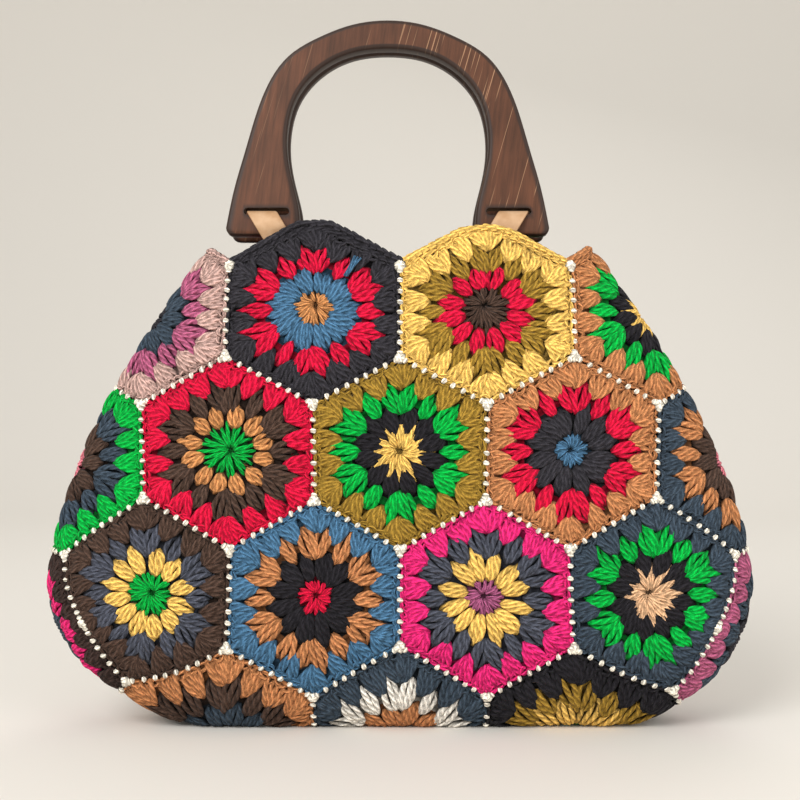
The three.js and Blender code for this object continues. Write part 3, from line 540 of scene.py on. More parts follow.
def cluster(inner, outer, half_width, strands, rng, open_end=0.1, low=0.4, high=1.9, yarn=YARN_RADIUS, tip=0.55,
            rings=7):
    """Strands of clusters: each runs from inner to outer and bows sideways by its share of the half width,
    times s^0.65 (1 - s)^0.4 for a closed tip or s^0.75 for an open one, and wavers; it rises as sin(pi s)^0.6
    from low to high and thins to the tip. Returns flat places, heights and radii along each strand."""
    s = np.linspace(0, 1, rings)
    share = np.linspace(-1, 1, strands)[None, :, None] if strands > 1 else np.zeros((1, 1, 1))
    inner = inner + rng.normal(0, 0.4, inner.shape)
    outer = outer + rng.normal(0, 0.65, outer.shape)
    run = outer - inner
    sideways = unit(np.stack([-run[:, 1], run[:, 0]], axis=-1))
    closed = s**0.65 * (1 - s)**0.4
    bow = (1 - open_end) * closed / closed.max() + open_end * s**0.75
    width = (half_width - yarn) * (1 + rng.normal(0, 0.1, (len(inner), 1, 1)))
    count = (len(inner), strands, 1)
    wave = np.sin(np.pi * (s + rng.uniform(0, 2, count)) * 2)
    lateral = share * width * bow + rng.normal(0, 0.25, count) * np.sin(np.pi * s) + 0.22 * wave
    stretch = 1 + rng.normal(0, 0.05, count) - 0.06 * share**2 * (1 - open_end)
    flat = (inner[:, None, None, :] + (s * stretch)[..., None] * run[:, None, None, :]
            + lateral[..., None] * sideways[:, None, None, :])
    rise = np.sin(np.pi * s**(0.8 - 0.15 * open_end))**0.6 * (1 - 0.3 * share**2 * (1 - open_end))
    height = low + (high - low) * rise + rng.normal(0, 0.25, count)
    thick = np.sin(np.pi * (0.06 + 0.88 * s))**0.5
    ends = 0.55 + (tip - 0.55) * s**3
    radius = yarn * (ends + (1 - ends) * thick) * (1 + rng.normal(0, 0.06, count))
    shape = (-1, rings)
    return flat.reshape(*shape, 2), height.reshape(shape), radius.reshape(shape)


def tubes(centre, out, radius):
    """Rings round each centre line: centre + radius (cos a across + sin a up), where across is square to the
    run of the strand and to the direction out of the bag. Returns points as strand, ring, side, xyz."""
    run = unit(np.gradient(centre, axis=1))
    across = unit(np.cross(out, run))
    up = np.cross(run, across)
    cos, sin = np.cos(STRAND_TURN)[:, None], np.sin(STRAND_TURN)[:, None]
    ring = cos * across[:, :, None, :] + sin * up[:, :, None, :]
    return centre[:, :, None, :] + radius[:, :, None, None] * ring


def path_lengths(points):
    """Length along each line of points from its start."""
    steps = np.linalg.norm(np.diff(points, axis=-2), axis=-1)
    return np.concatenate([np.zeros_like(steps[..., :1]), np.cumsum(steps, axis=-1)], axis=-1)


def skin(points, along, depth, tone, colour):
    """Quads between the rings of each closed tube and a flat cap at both ends, with the turn round the tube and
    the length along it as the strand map. colour is one number for each gap between rings. Nothing goes below
    the floor."""
    points[..., 2] = np.maximum(points[..., 2], 0)
    count, rings, sides = points.shape[:3]
    index = np.arange(count * rings * sides).reshape(count, rings, sides)
    after = np.roll(index, -1, axis=2)
    quads = np.stack([index[:, :-1], after[:, :-1], after[:, 1:], index[:, 1:]], axis=-1)
    turn = np.arange(sides) / sides
    turns = np.broadcast_to(np.stack([turn, turn + 1 / sides, turn + 1 / sides, turn], axis=-1), quads.shape)
    lows, highs = along[:, :-1, None], along[:, 1:, None]
    runs = np.broadcast_to(np.stack([lows, lows, highs, highs], axis=-1), quads.shape)
    caps = np.concatenate([index[:, 0, ::-1], index[:, -1]])
    cap_turns = np.concatenate([np.tile(turn[::-1], (count, 1)), np.tile(turn, (count, 1))])
    cap_runs = np.repeat(np.concatenate([along[:, 0], along[:, -1]]), sides)
    colour = np.broadcast_to(colour, (count, rings - 1))
    return {
        "points": points.reshape(-1, 3),
        "corners": np.concatenate([quads.ravel(), caps.ravel()]),
        "sizes": np.concatenate([np.full(quads.size // 4, 4), np.full(len(caps), sides)]),
        "map": np.stack([np.concatenate([turns.ravel(), cap_turns.ravel()]),
                         np.concatenate([runs.ravel(), cap_runs])], axis=1),
        "colour": np.concatenate([np.repeat(colour.ravel(), sides), colour[:, 0], colour[:, -1]]),
        "depth": np.broadcast_to(depth, (count, rings, sides)).ravel(),
        "tone": np.broadcast_to(tone, (count, rings, sides)).ravel(),
    }


def strand_skin(centre, out, radius, depth, colour, rng):
    """The skin of strands along their centre lines, each with its own tone and start of the twist."""
    along = path_lengths(centre) * CM + rng.uniform(0, 1, (len(centre), 1))
    tone = rng.uniform(-1, 1, (len(centre), 1, 1))
    return skin(tubes(centre, out, radius), along, depth, tone, colour)


def lay_mesh(name, skins, materials):
    """One mesh object from several skins, its points turned from millimetres to metres."""
    offsets = np.cumsum([0] + [len(s["points"]) for s in skins])
    corners = np.concatenate([s["corners"] + offset for s, offset in zip(skins, offsets)]).astype(np.int32)
    joined = {key: np.concatenate([s[key] for s in skins]) for key in skins[0]}
    sizes = joined["sizes"].astype(np.int32)
    mesh = bpy.data.meshes.new(name)
    mesh.vertices.add(len(joined["points"]))
    mesh.vertices.foreach_set("co", (joined["points"] * MM).ravel().astype(np.float32))
    mesh.loops.add(len(corners))
    mesh.loops.foreach_set("vertex_index", corners)
    mesh.polygons.add(len(sizes))
    mesh.polygons.foreach_set("loop_start", (np.cumsum(sizes) - sizes).astype(np.int32))
    mesh.polygons.foreach_set("loop_total", sizes)
    mesh.polygons.foreach_set("use_smooth", np.ones(len(sizes), bool))
    mesh.polygons.foreach_set("material_index", joined["colour"].astype(np.int32))
    strand_map = mesh.uv_layers.new(name="strand")
    strand_map.data.foreach_set("uv", joined["map"].ravel().astype(np.float32))
    # depth holds the painted shade of each point, tone the random tone of each strand
    for key in ("depth", "tone"):
        values = mesh.attributes.new(key, "FLOAT", "POINT")
        values.data.foreach_set("value", joined[key].astype(np.float32))
    for material in materials:
        mesh.materials.append(material)
    mesh.update()
    mesh.validate()
    return put_in_scene(name, mesh)


def under_handle(m):
    """Whether the peak of a motif on the mouth lies under the foot of a handle that is swung out."""
    sheet, _, place = motifs[m]
    return (place if sheet == "front" else -place) > 0


def edge_distance(m, angle):
    """Distance from the middle to the edge of the hexagon at each angle in degrees; corners on the mouth are
    worked round."""
    sheet, row, _ = motifs[m]
    mouth_corner = MOUTH_CORNER_UNDER_HANDLE if under_handle(m) else MOUTH_CORNER
    turn = np.mod(angle, 360)
    distance = MOTIF_WIDTH / 2 / np.cos(np.radians(turn - 60 * np.round(turn / 60)))
    on_mouth = (row == 1) & (sheet != "side") & (np.abs(turn - 90) < 30)
    return np.where(on_mouth, np.minimum(distance, mouth_corner), distance)


def strands_on_cloth(m, flat, height, radius, colour, rng, face=1):
    """Strands of one round laid on motif m: each centre line stands its height out of the cloth, to the outer
    face or with face -1 to the inner, and stays inside the edge of the motif. Its underside and the parts sunk
    between other strands get painted shade."""
    reach = np.hypot(flat[..., 0], flat[..., 1])
    limit = edge_distance(m, np.degrees(np.arctan2(flat[..., 1], flat[..., 0]))) - EDGE_INSET
    flat = flat * np.minimum(1, limit / np.maximum(reach, 0.1))[..., None]
    place, out = cloth_point(m, flat[..., 0], flat[..., 1])
    sunk = np.clip((SUNK_BELOW - height) / SUNK_BELOW, 0, 1)
    # Painted shade on the undersides and on the parts sunk between other strands
    depth = np.clip(UNDERSIDE_SHADE + SUNK_SHADE * sunk[..., None], 0, 1)
    return strand_skin(place + face * height[..., None] * out, face * out, radius, depth, colour, rng)


def backing(m, petals_to):
    """The felted underside that closes the gaps between strands: rings from the middle of the outer face over
    the edge to the middle of the inner face, round in the middle and hexagons outside. They stand 0.5 mm out
    of the cloth on the outer face and 1.9 + 0.6 ridge mm on the inner, where ridge = cos(12 (angle + 15))
    sin(2.6 pi share). Each ring has the colour of the round over it, under deep painted shade on the outer
    face, where it shows only in the gaps between strands, and lighter painted shade on the inner face."""
    angle = -360 * np.arange(BACKING_SIDES) / BACKING_SIDES
    share = np.array(BACKING_OUTER + BACKING_INNER)
    outer = np.arange(len(share)) < len(BACKING_OUTER)
    hex_share = np.clip((share - 0.3) / 0.5, 0, 1)
    edge = edge_distance(m, angle)
    reach = share[:, None] * ((1 - hex_share)[:, None] * MOTIF_WIDTH / 2 + hex_share[:, None] * edge)
    ridge = np.cos(np.radians(12 * (angle + 15)))[None, :] * np.sin(np.pi * (share * 2.6))[:, None]
    height = np.where(outer[:, None], 0.5, -1.9 - 0.6 * ridge)
    turn = np.radians(angle)
    place, out = cloth_point(m, reach * np.cos(turn), reach * np.sin(turn))
    colour = np.searchsorted([MIDDLE_TO, petals_to, LEAVES_TO], (share[:-1] + share[1:]) / 2)[None]
    # Painted shade: full on the outer face, lighter on the inner
    depth = np.where(outer, 1, 0.35)[None, :, None]
    return skin((place + height[..., None] * out)[None], reach.mean(axis=1)[None] * CM, depth, 0, colour)


def motif_name(sheet, row, place):
    """Name of a motif: its side of the bag, its row and its letter in the row."""
    if sheet == "side":
        return f"{'left' if place < 0 else 'right'}_{row}"
    if sheet == "base":
        return f"base_{'abc'[place + 1]}"
    return f"{sheet}_{row}{'abcd'[int(place + row / 2)]}"


def edge_chain(rng):
    """The chain that closes the border: loops of two strands, one after another just inside each edge."""
    share = np.arange(CHAIN_STITCHES)[:, None] / CHAIN_STITCHES
    turns = polar(30 + 60 * np.arange(7), MOTIF_SIDE - CHAIN_INSET * 2 / np.sqrt(3))[:, None]
    first, run = turns[:-1], np.diff(turns, axis=0)
    starts = (first + share * run).reshape(-1, 2)
    ends = (first + (share + CHAIN_OVERLAP / CHAIN_STITCHES) * run).reshape(-1, 2)
    return cluster(starts, ends, CHAIN_HALF_WIDTH, 2, rng, open_end=0.25, low=0.9, high=1.7, yarn=THIN_YARN,
                   rings=5)


def inner_face(rng):
    """The rounds as they show inside the bag: flatter posts of two strands from the middle to the border."""
    posts = []
    for colour, (count, turned, near, far, half_width) in enumerate(INNER_POSTS):
        angle = turned + 360 / count * np.arange(count)
        posts.append((cluster(polar(angle, near), polar(angle, far), half_width, 2, rng, open_end=0.6, low=0.9,
                              high=1.6, rings=5), colour))
    return posts


def mouth_rim(m, rng):
    """The plaited rim of a motif on the mouth: one thick strand along the free edge, and over it, RIM_RISE past
    the edge, stitches on both sides of the crest. Each runs on for 1.7 stitch lengths as s goes from 0 to 1
    and slants over the crest: it stands 1.9 - 1.5 s mm to its side and 2.4 s - 1.5 mm above."""
    sheet, _, place = motifs[m]
    angles = (30, 150) if sheet != "side" else (90, 150) if place > 0 else (30, 90)
    angle = np.linspace(*angles, RIM_POINTS)
    reach = edge_distance(m, angle) - EDGE_INSET
    (place, out), (inside, _) = (cloth_point(m, *polar(angle, reach - inset).T) for inset in (0, 4))
    away = unit(place - inside)
    crest = place + (RIM_RISE_UNDER_HANDLE if under_handle(m) else RIM_RISE) * away
    core, core_out = (place + RIM_CORE_RISE * away)[None, ::5], out[None, ::5]
    length = path_lengths(crest)
    count = int(length[-1] / RIM_STITCH)
    s = np.linspace(0, 1, 5)
    # The core gets light painted shade all round, the stitches painted shade on their undersides
    skins = [skin(tubes(core, core_out, np.full(core.shape[:2], RIM_CORE)), path_lengths(core) * CM, 0.3, 0, 3)]
    for face in (-1, 1):
        reach = np.clip((np.arange(count)[:, None] + 1.7 * s - 0.35) * length[-1] / count, 0, length[-1])
        spot = np.searchsorted(length, reach).clip(0, len(length) - 1)
        lift = face * (1.9 - 1.5 * s) + rng.normal(0, 0.15, (count, 1))
        rise = 2.4 * s - 1.5 + rng.normal(0, 0.15, (count, 1))
        centre = crest[spot] + lift[..., None] * out[spot] + rise[..., None] * away[spot]
        swell = np.sqrt(np.sin(np.pi * (0.12 + 0.76 * s)))
        thick = RIM_STITCH_RADIUS * swell * (1 + rng.normal(0, 0.05, (count, 1)))
        skins.append(strand_skin(centre, face * out[spot], thick, UNDERSIDE_SHADE, 3, rng))
    return skins


def loose_tail(m, rng):
    """A loose end of yarn left standing on the face: three frayed strands bent from a petal to the edge."""
    s = np.linspace(0, 1, 7)
    spread = np.array([-1, 0, 1])[:, None]
    fray = np.stack([spread * (0.5 + s**2), -0.6 * spread * s**2], axis=-1)
    flat = TAIL_FROM + (TAIL_TO - TAIL_FROM) * s[:, None] + fray
    height = TAIL_LOW + TAIL_RISE * np.sin(np.pi * (0.1 + 0.75 * s)) + 0 * spread
    radius = TAIL_RADIUS - 0.3 * s + 0 * spread
    return strands_on_cloth(m, flat, height, radius, 1, rng)


spokes, twelfths, sides = (360 / count * np.arange(count) for count in (24, 12, 6))
corners = 30 + sides
fan_middle = MOTIF_SIDE / 2 - CORNER_FAN_FROM_CORNER
for m, motif in enumerate(motifs):
    name = motif_name(*motif)
    style, *round_colours = MOTIF_ROUNDS[name].split()
    middle_reach, petal_inner, petal_outer, petal_half, petals, petal_strands, tip_open = MIDDLES[style]
    petal_angles = 180 / petals + 360 / petals * np.arange(petals)
    rng = np.random.default_rng(100 + m)
    if style == "star":
        middle = cluster(polar(twelfths, STAR_INNER), polar(twelfths, middle_reach), STAR_HALF_WIDTH, 3, rng,
                         open_end=0, low=0.8, high=2.2, yarn=STAR_YARN, tip=0.2)
    else:
        middle = cluster(polar(spokes, MIDDLE_INNER), polar(spokes, middle_reach), 0, 1, rng, low=0.7, high=1.7,
                         yarn=THIN_YARN)
    flower = cluster(polar(petal_angles, petal_inner), polar(petal_angles, petal_outer), petal_half,
                     petal_strands, rng, open_end=tip_open)
    leaves = cluster(polar(sides, LEAF_INNER), polar(sides, LEAF_OUTER), LEAF_HALF_WIDTH, 3, rng, open_end=0.35)
    laid = [(middle, 0), (flower, 1), (leaves, 2)]
    for lean in (-1, 1):
        hearts = cluster(polar(corners, LEAF_INNER) + polar(corners + 90 * lean, HEART_INNER_SIDE),
                         polar(corners + HEART_SPREAD * lean, HEART_OUTER), HEART_HALF_WIDTH, 3, rng,
                         open_end=0.12)
        fans = cluster(polar(sides, FAN_INNER) + polar(sides + 90 * lean, FAN_SIDE),
                       polar(sides, FAN_OUTER) + polar(sides + 90 * lean, FAN_SIDE + FAN_SPREAD),
                       FAN_HALF_WIDTH, 5, rng, open_end=0.85, low=0.6, high=1.8)
        corner_fans = cluster(polar(sides + 30 * lean, CORNER_FAN_INNER),
                              polar(sides, FAN_OUTER) + polar(sides + 90 * lean, fan_middle),
                              CORNER_FAN_HALF_WIDTH, 5, rng, open_end=0.85, low=0.6, high=1.8)
        laid += [(hearts, 2), (fans, 3), (corner_fans, 3)]
    heart_ribs = cluster(polar(corners, LEAF_INNER), polar(corners, HEART_NOTCH), 0, 1, rng, low=0.6)
    corner_ribs = cluster(polar(corners, CORNER_FAN_INNER), polar(corners, CORNER_RIB_OUTER), 0, 1, rng,
                          open_end=1, low=0.7, high=2)
    laid += [(heart_ribs, 2), (corner_ribs, 3), (edge_chain(rng), 3)]
    skins = [backing(m, PETALS_TO_IF_CLOSED if tip_open < CLOSED_TIP else PETALS_TO)]
    skins += [strands_on_cloth(m, *strands, colour, rng) for strands, colour in laid]
    if motif[1] < 3:
        skins += [strands_on_cloth(m, *strands, colour, rng, face=-1) for strands, colour in inner_face(rng)]
    if motif[1] == 1:
        skins += mouth_rim(m, rng)
    if name == "front_1a":
        skins.append(loose_tail(m, rng))
    piece = lay_mesh("crochet_" + name, skins, [yarns[colour] for colour in round_colours])
    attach(piece, "bag")
    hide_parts("motif_" + name)


# Joining stitches: cream yarn whipped over the two edges of every seam, one short stitch after another,
# with a thicker knot where three motifs meet.
STITCH_SPACING = 5
STITCH_RADIUS = 1.35
STITCH_HALF_LENGTH = 1.35
STITCH_SLANT = 0.35
STITCH_JITTER, SLANT_JITTER = 0.006, 0.12
KNOT_RADIUS = 1.85
KNOT_HALF_LENGTH = 2.9
KNOT_STITCHES = 3
KNOT_ACROSS = (0.31, 0.22, 0.93)
STITCH_CREST, STITCH_FALL = 2.4, 1.1


def short_stitches(place, out, direction, half_length, radius, rng):
    """Short arched stitches: centre = place + x half length direction + (crest - fall x^2) out, thinning as
    sqrt(1.06 - 0.75 x^2) and with painted shade growing as 0.6 x^2 to the ends, where x runs from -1 to 1."""
    x = np.linspace(-1, 1, 5)
    centre = (place[:, None] + half_length * x[:, None] * direction[:, None]
              + (STITCH_CREST - STITCH_FALL * x**2)[:, None] * out[:, None])
    thickness = np.broadcast_to(radius * np.sqrt(1.06 - 0.75 * x**2), centre.shape[:2])
    outs = np.broadcast_to(out[:, None], centre.shape)
    return strand_skin(centre, outs, thickness, (0.6 * x**2)[:, None], 0, rng)


rng = np.random.default_rng(7)
stitch_count = int(MOTIF_SIDE / STITCH_SPACING)
stitch_skins = []
for a, edge_a, b, edge_b in seams:
    share = (np.arange(stitch_count) + 0.5) / stitch_count + rng.normal(0, STITCH_JITTER, stitch_count)
    start, end = polar(30 + 60 * edge_a, MOTIF_SIDE), polar(90 + 60 * edge_a, MOTIF_SIDE)
    place, out = cloth_point(a, *(start + share[:, None] * (end - start)).T)
    along = unit(np.gradient(place, axis=0))
    slant = STITCH_SLANT + rng.normal(0, SLANT_JITTER, (stitch_count, 1))
    across = unit(np.cross(out, along) + slant * along)
    stitch_skins.append(short_stitches(place, out, across, STITCH_HALF_LENGTH, STITCH_RADIUS, rng))
corner_places = lattice_at(*(LATTICE * corner_steps).T)
knot_nodes, knot_first = np.unique(cloth_nodes[:, corner_places], return_index=True)
sewn_corners = np.unique(cloth_nodes.ravel()[np.concatenate([sewn_a, sewn_b])])
for node, first in zip(knot_nodes, knot_first):
    if node not in sewn_corners:
        continue
    corner = polar(30 + 60 * (first % 6), MOTIF_SIDE)
    place, out = cloth_point(first // 6, *np.tile(corner, (KNOT_STITCHES, 1)).T)
    sideways = unit(np.cross(out, KNOT_ACROSS))
    turn = np.pi / KNOT_STITCHES * np.arange(KNOT_STITCHES)[:, None] + rng.uniform(0, 1)
    crossing = np.cos(turn) * sideways + np.sin(turn) * np.cross(out, sideways)
    stitch_skins.append(short_stitches(place, out, crossing, KNOT_HALF_LENGTH, KNOT_RADIUS, rng))
joining = lay_mesh("joining_stitches", stitch_skins, [yarns["cream"]])
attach(joining, "bag")
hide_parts("joining_yarn")


# Handles: two flat arches sawn from hardwood, stained dark brown and rounded over at the edges, with a slot
# in each foot for the straps. The grain runs upright, the rounded edges are darker, the slot walls carry
# painted shadow, and light scratches show the paler wood below.
HANDLE_WIDTH = 170
HANDLE_HEIGHT = 116
HANDLE_THICKNESS = 9
HANDLE_EDGE = 1.8
ARCH_THICKNESS = 15.5
FOOT_WIDTH = 39
FOOT_ROUND = 4
SLOT_X = HANDLE_WIDTH / 2 - FOOT_WIDTH / 2 - 1.9
SLOT_WIDTH = 24
SLOT_HEIGHT = 4
BAR_HEIGHT = 10.5
HANDLE_GAP = 0.6
HANDLE_OFFSET = -6.5
HINGE_Y = 13.5
HINGE_Z = 264
FOOT_TOP = FOOT_ROUND / HANDLE_HEIGHT
OUTER_STATIONS = ((0, 1), (0.22, 0.98), (0.432, 0.92), (0.624, 0.83), (0.757, 0.685), (0.833, 0.53),
                  (0.89, 0.38), (0.95, 0.22), (1, FOOT_TOP))
INNER_STATIONS = ((0, 1 - ARCH_THICKNESS / HANDLE_HEIGHT), (0.25, 0.84), (0.455, 0.75), (0.565, 0.645),
                  (0.615, 0.53), (0.625, 0.4), (0.59, 0.25), (0.55, 0.12),
                  (1 - 2 * FOOT_WIDTH / HANDLE_WIDTH, FOOT_TOP))
STATION_POINTS = 40
LEG_ROWS = (20.3, 15.5, 12)
BAR_ROW = 2
ARCH_ROWS = 36
FACE_COLUMNS = 15
SLOT_FROM, SLOT_TO = 3, 12
EDGE_TURNS = 3
FOOT_BENDS = (22.5, 45, 67.5, 90)
SHARP_ANGLE = 50
# Colours of the stain, dark and pale, of the darker edges, also used as painted shadow in the slots, and of
# bare wood
STAIN_DARK, STAIN_PALE, EDGE_DARK_AND_SLOT_SHADE, BARE_WOOD = "#42291b", "#623c29", "#2b211d", "#b98f6d"
GRAIN_LEAN, GRAIN_SCALE = -0.12, (420, 150, 22)
SCRATCH_LEAN, SCRATCH_SCALE = -0.28, (980, 60, 16)


def half_outline(stations):
    """Half of an outline from the crown to the foot: the natural cubic spline through the stations and their
    mirror images, its second slopes M solving h0 M0 + 2 (h0 + h1) M1 + h1 M2 = 6 (slope1 - slope0)."""
    points = np.array(stations) * (HANDLE_WIDTH / 2, HANDLE_HEIGHT) - (0, BAR_HEIGHT / 2)
    points = np.concatenate([points[:0:-1] * (-1, 1), points])
    step = np.linalg.norm(np.diff(points, axis=0), axis=1)
    slope = np.diff(points, axis=0) / step[:, None]
    system = np.diag(2 * (step[:-1] + step[1:])) + np.diag(step[1:-1], 1) + np.diag(step[1:-1], -1)
    bend = np.zeros_like(points)
    bend[1:-1] = np.linalg.solve(system, 6 * np.diff(slope, axis=0))
    here = slice(len(stations) - 1, -1)
    step, slope = step[len(stations) - 1:, None, None], slope[len(stations) - 1:, None]
    start, bend_a, bend_b = points[here, None], bend[here, None], bend[len(stations):, None]
    x = step * np.linspace(0, 1, STATION_POINTS)[:, None]
    curve = (start + x * (slope - step * (2 * bend_a + bend_b) / 6) + x**2 * bend_a / 2
             + x**3 * (bend_b - bend_a) / (6 * step))
    return curve.reshape(-1, 2)


def outline_rows(curve, heights):
    """Places on a half outline: equal steps along it down to the first height, then one at each height."""
    arch = curve[curve[:, 1] >= heights[0]]
    length = path_lengths(arch)
    even = np.linspace(0, length[-1], ARCH_ROWS)[:-1]
    arch_rows = np.stack([np.interp(even, length, arch[:, 0]), np.interp(even, length, arch[:, 1])], axis=1)
    leg_rows = np.stack([np.interp(heights, curve[::-1, 1], curve[::-1, 0]), heights], axis=1)
    return np.concatenate([arch_rows, leg_rows])


def ring_cells(rows, ring):
    """Four-cornered faces between closed rings of points, one row of faces for each gap between two rings."""
    row, spot = np.meshgrid(np.arange(rows - 1), np.arange(ring), indexing="ij")
    after = (spot + 1) % ring
    return np.stack([spot, spot + ring, after + ring, after], axis=-1) + (row * ring)[..., None]


def handle_surface():
    """The arch as rings from one foot over the crown to the other. Each ring is a rounded rectangle across the
    band from the outer to the inner outline: face columns at equal shares, edges of quarter circles. The foot
    rounds off over its last rows; for the slot, cells are left out and the two faces walled together."""
    low = -BAR_HEIGHT / 2
    slot_middle = BAR_HEIGHT / 2 + SLOT_HEIGHT / 2
    slot_half = SLOT_HEIGHT / 2
    bends = np.radians(FOOT_BENDS)
    heights = np.r_[LEG_ROWS, slot_middle + slot_half * np.array([1, 0, -1]), BAR_ROW, low + FOOT_ROUND,
                    low + FOOT_ROUND * (1 - np.sin(bends))]
    outer = outline_rows(half_outline(OUTER_STATIONS), heights)
    inner = outline_rows(half_outline(INNER_STATIONS), heights)
    outer[-len(bends):, 0] -= FOOT_ROUND * (1 - np.cos(bends))
    inner[-len(bends):, 0] += FOOT_ROUND * (1 - np.cos(bends))
    below = np.maximum(0, HANDLE_EDGE - (outer[:, 1] - low))
    half_thick = (HANDLE_THICKNESS / 2 - HANDLE_EDGE + np.sqrt(HANDLE_EDGE**2 - below**2))[:, None]
    width = np.linalg.norm(inner - outer, axis=1, keepdims=True)
    turn = np.radians(90) * np.arange(1, EDGE_TURNS + 1) / EDGE_TURNS
    column = HANDLE_EDGE + (width - 2 * HANDLE_EDGE) * np.linspace(0, 1, FACE_COLUMNS)
    bulge = width - HANDLE_EDGE + HANDLE_EDGE * np.sin(np.concatenate([turn, turn[::-1]]))
    side = half_thick - HANDLE_EDGE + HANDLE_EDGE * np.cos(turn)
    side = np.concatenate([side, -side[:, ::-1]], axis=1)
    face = half_thick + np.zeros(FACE_COLUMNS)
    across = np.concatenate([column, bulge, column[:, ::-1], width - bulge], axis=1)
    deep = np.concatenate([face, side, -face, -side], axis=1)
    plane = outer[:, None] + across[..., None] * ((inner - outer) / width)[:, None]
    ring = plane.shape[1]
    last_back = 2 * FACE_COLUMNS + 2 * EDGE_TURNS - 1
    slot_columns = np.arange(SLOT_FROM, SLOT_TO + 1)
    slot_row = ARCH_ROWS - 1 + len(LEG_ROWS)
    end = np.sqrt(0.5) * slot_half
    reach = SLOT_WIDTH / 2 - slot_half
    straight = len(slot_columns) - 2
    line = SLOT_X + np.r_[reach + end, np.linspace(reach, -reach, straight), -reach - end]
    level = np.r_[end, np.full(straight, slot_half), end]
    for columns in (slot_columns, last_back - slot_columns):
        plane[slot_row, columns] = np.stack([line, slot_middle + level], axis=1)
        plane[slot_row + 2, columns] = np.stack([line, slot_middle - level], axis=1)
        plane[slot_row + 1, columns[[0, -1]], 0] = SLOT_X + SLOT_WIDTH / 2 * np.array([1, -1])
    points = np.concatenate([plane, deep[..., None]], axis=-1)
    points = np.concatenate([points[:0:-1] * (-1, 1, 1), points])
    rows = len(points)
    rim = np.ones((rows, ring))
    rim[2:-2, np.r_[1:FACE_COLUMNS - 1, last_back - FACE_COLUMNS + 2:last_back]] = 0
    kept = np.ones((rows - 1, ring), bool)
    faces = []
    for start in (rows // 2 + slot_row, rows // 2 - slot_row - 2):
        kept[start:start + 2, np.r_[SLOT_FROM:SLOT_TO, last_back - SLOT_TO:last_back - SLOT_FROM]] = False
        loop_row = start + np.r_[0 * slot_columns, 1, 0 * slot_columns + 2, 1]
        loop_column = np.r_[slot_columns, SLOT_TO, slot_columns[::-1], SLOT_FROM]
        here = loop_row * ring + loop_column
        there = loop_row * ring + last_back - loop_column
        faces.append(np.stack([here, there, np.roll(there, -1), np.roll(here, -1)], axis=1))
        # The slot walls take the darker edge colour as painted shadow in the slots
        rim.reshape(-1)[np.concatenate([here, there])] = 1
    spot = np.arange(-EDGE_TURNS, FACE_COLUMNS + EDGE_TURNS - 1)
    foot = np.stack([spot, spot + 1, last_back - spot - 1, last_back - spot], axis=1) % ring
    faces += [ring_cells(rows, ring)[kept], foot, foot[:, ::-1] + (rows - 1) * ring]
    return points.reshape(-1, 3), np.concatenate(faces)[:, ::-1], rim.reshape(-1)


def lay_plain(name, points, faces, rim, material):
    """A mesh from points in millimetres and four-cornered faces, with the darkened share of each point kept as
    the attribute rim; faces meet smoothly except at sharp corners."""
    mesh = bpy.data.meshes.new(name)
    mesh.from_pydata((MM * points).tolist(), [], faces.tolist())
    mesh.attributes.new("rim", "FLOAT", "POINT").data.foreach_set("value", rim.astype(np.float32))
    mesh.polygons.foreach_set("use_smooth", np.ones(len(faces), bool))
    mesh.set_sharp_from_angle(angle=np.radians(SHARP_ANGLE))
    mesh.materials.append(material)
    mesh.validate()
    return put_in_scene(name, mesh)


def two_tones(tree, share, dark_at, dark, pale_at, pale):
    """A colour that runs from dark to pale as the share rises between two places."""
    made = wire(tree, "ShaderNodeValToRGB", {0: share})
    for stop, place, code in zip(made.color_ramp.elements, (dark_at, pale_at), (dark, pale)):
        stop.position, stop.color = place, paint(code)
    return made.outputs[0]


def turned_noise(tree, where, turn, scale, detail, roughness):
    """Noise drawn out by a scale along three axes that are turned about y."""
    turned = wire(tree, "ShaderNodeMapping", {0: where, "Rotation": (0, turn, 0)})
    drawn = wire(tree, "ShaderNodeMapping", {0: turned.outputs[0], "Scale": scale})
    return wire(tree, "ShaderNodeTexNoise", {"Vector": drawn.outputs[0], "Scale": 1, "Detail": detail,
                                             "Roughness": roughness}).outputs["Fac"]


def ranged(tree, value, low, high, at_low, at_high):
    """A value brought from the range low to high onto the range at_low to at_high."""
    return wire(tree, "ShaderNodeMapRange", {0: value, 1: low, 2: high, 3: at_low, 4: at_high}).outputs[0]


def mixed(tree, share, colour, code):
    """A colour with a share of a written colour mixed in."""
    return wire(tree, "ShaderNodeMix", {0: share, 6: colour, 7: paint(code)}, data_type="RGBA").outputs[2]


wood, tree, shader = start_material("stained_wood", {"Roughness": 0.48, "Specular IOR Level": 0.25})
where = wire(tree, "ShaderNodeTexCoord").outputs["Object"]
grain = turned_noise(tree, where, GRAIN_LEAN, GRAIN_SCALE, 6, 0.65)
clouds = wire(tree, "ShaderNodeTexNoise", {"Vector": where, "Scale": 38, "Detail": 3}).outputs["Fac"]
scores = turned_noise(tree, where, SCRATCH_LEAN, SCRATCH_SCALE, 1, 0.3)
across = wire(tree, "ShaderNodeSeparateXYZ", {0: where}).outputs["X"]
scored = ranged(tree, scores, 0.675, 0.72, 0, 0.6)
handled = ranged(tree, across, -0.02, 0.02, 0.3, 1)
scratch = wire(tree, "ShaderNodeMath", {0: scored, 1: handled}, operation="MULTIPLY")
stain = two_tones(tree, grain, 0.3, STAIN_DARK, 0.7, STAIN_PALE)
worn = ranged(tree, clouds, 0.35, 0.7, 0.86, 1.18)
cloudy = wire(tree, "ShaderNodeVectorMath", {0: stain, "Scale": worn}, operation="SCALE")
rim = wire(tree, "ShaderNodeAttribute", attribute_name="rim").outputs["Fac"]
scratched = mixed(tree, scratch.outputs[0], cloudy.outputs[0], BARE_WOOD)
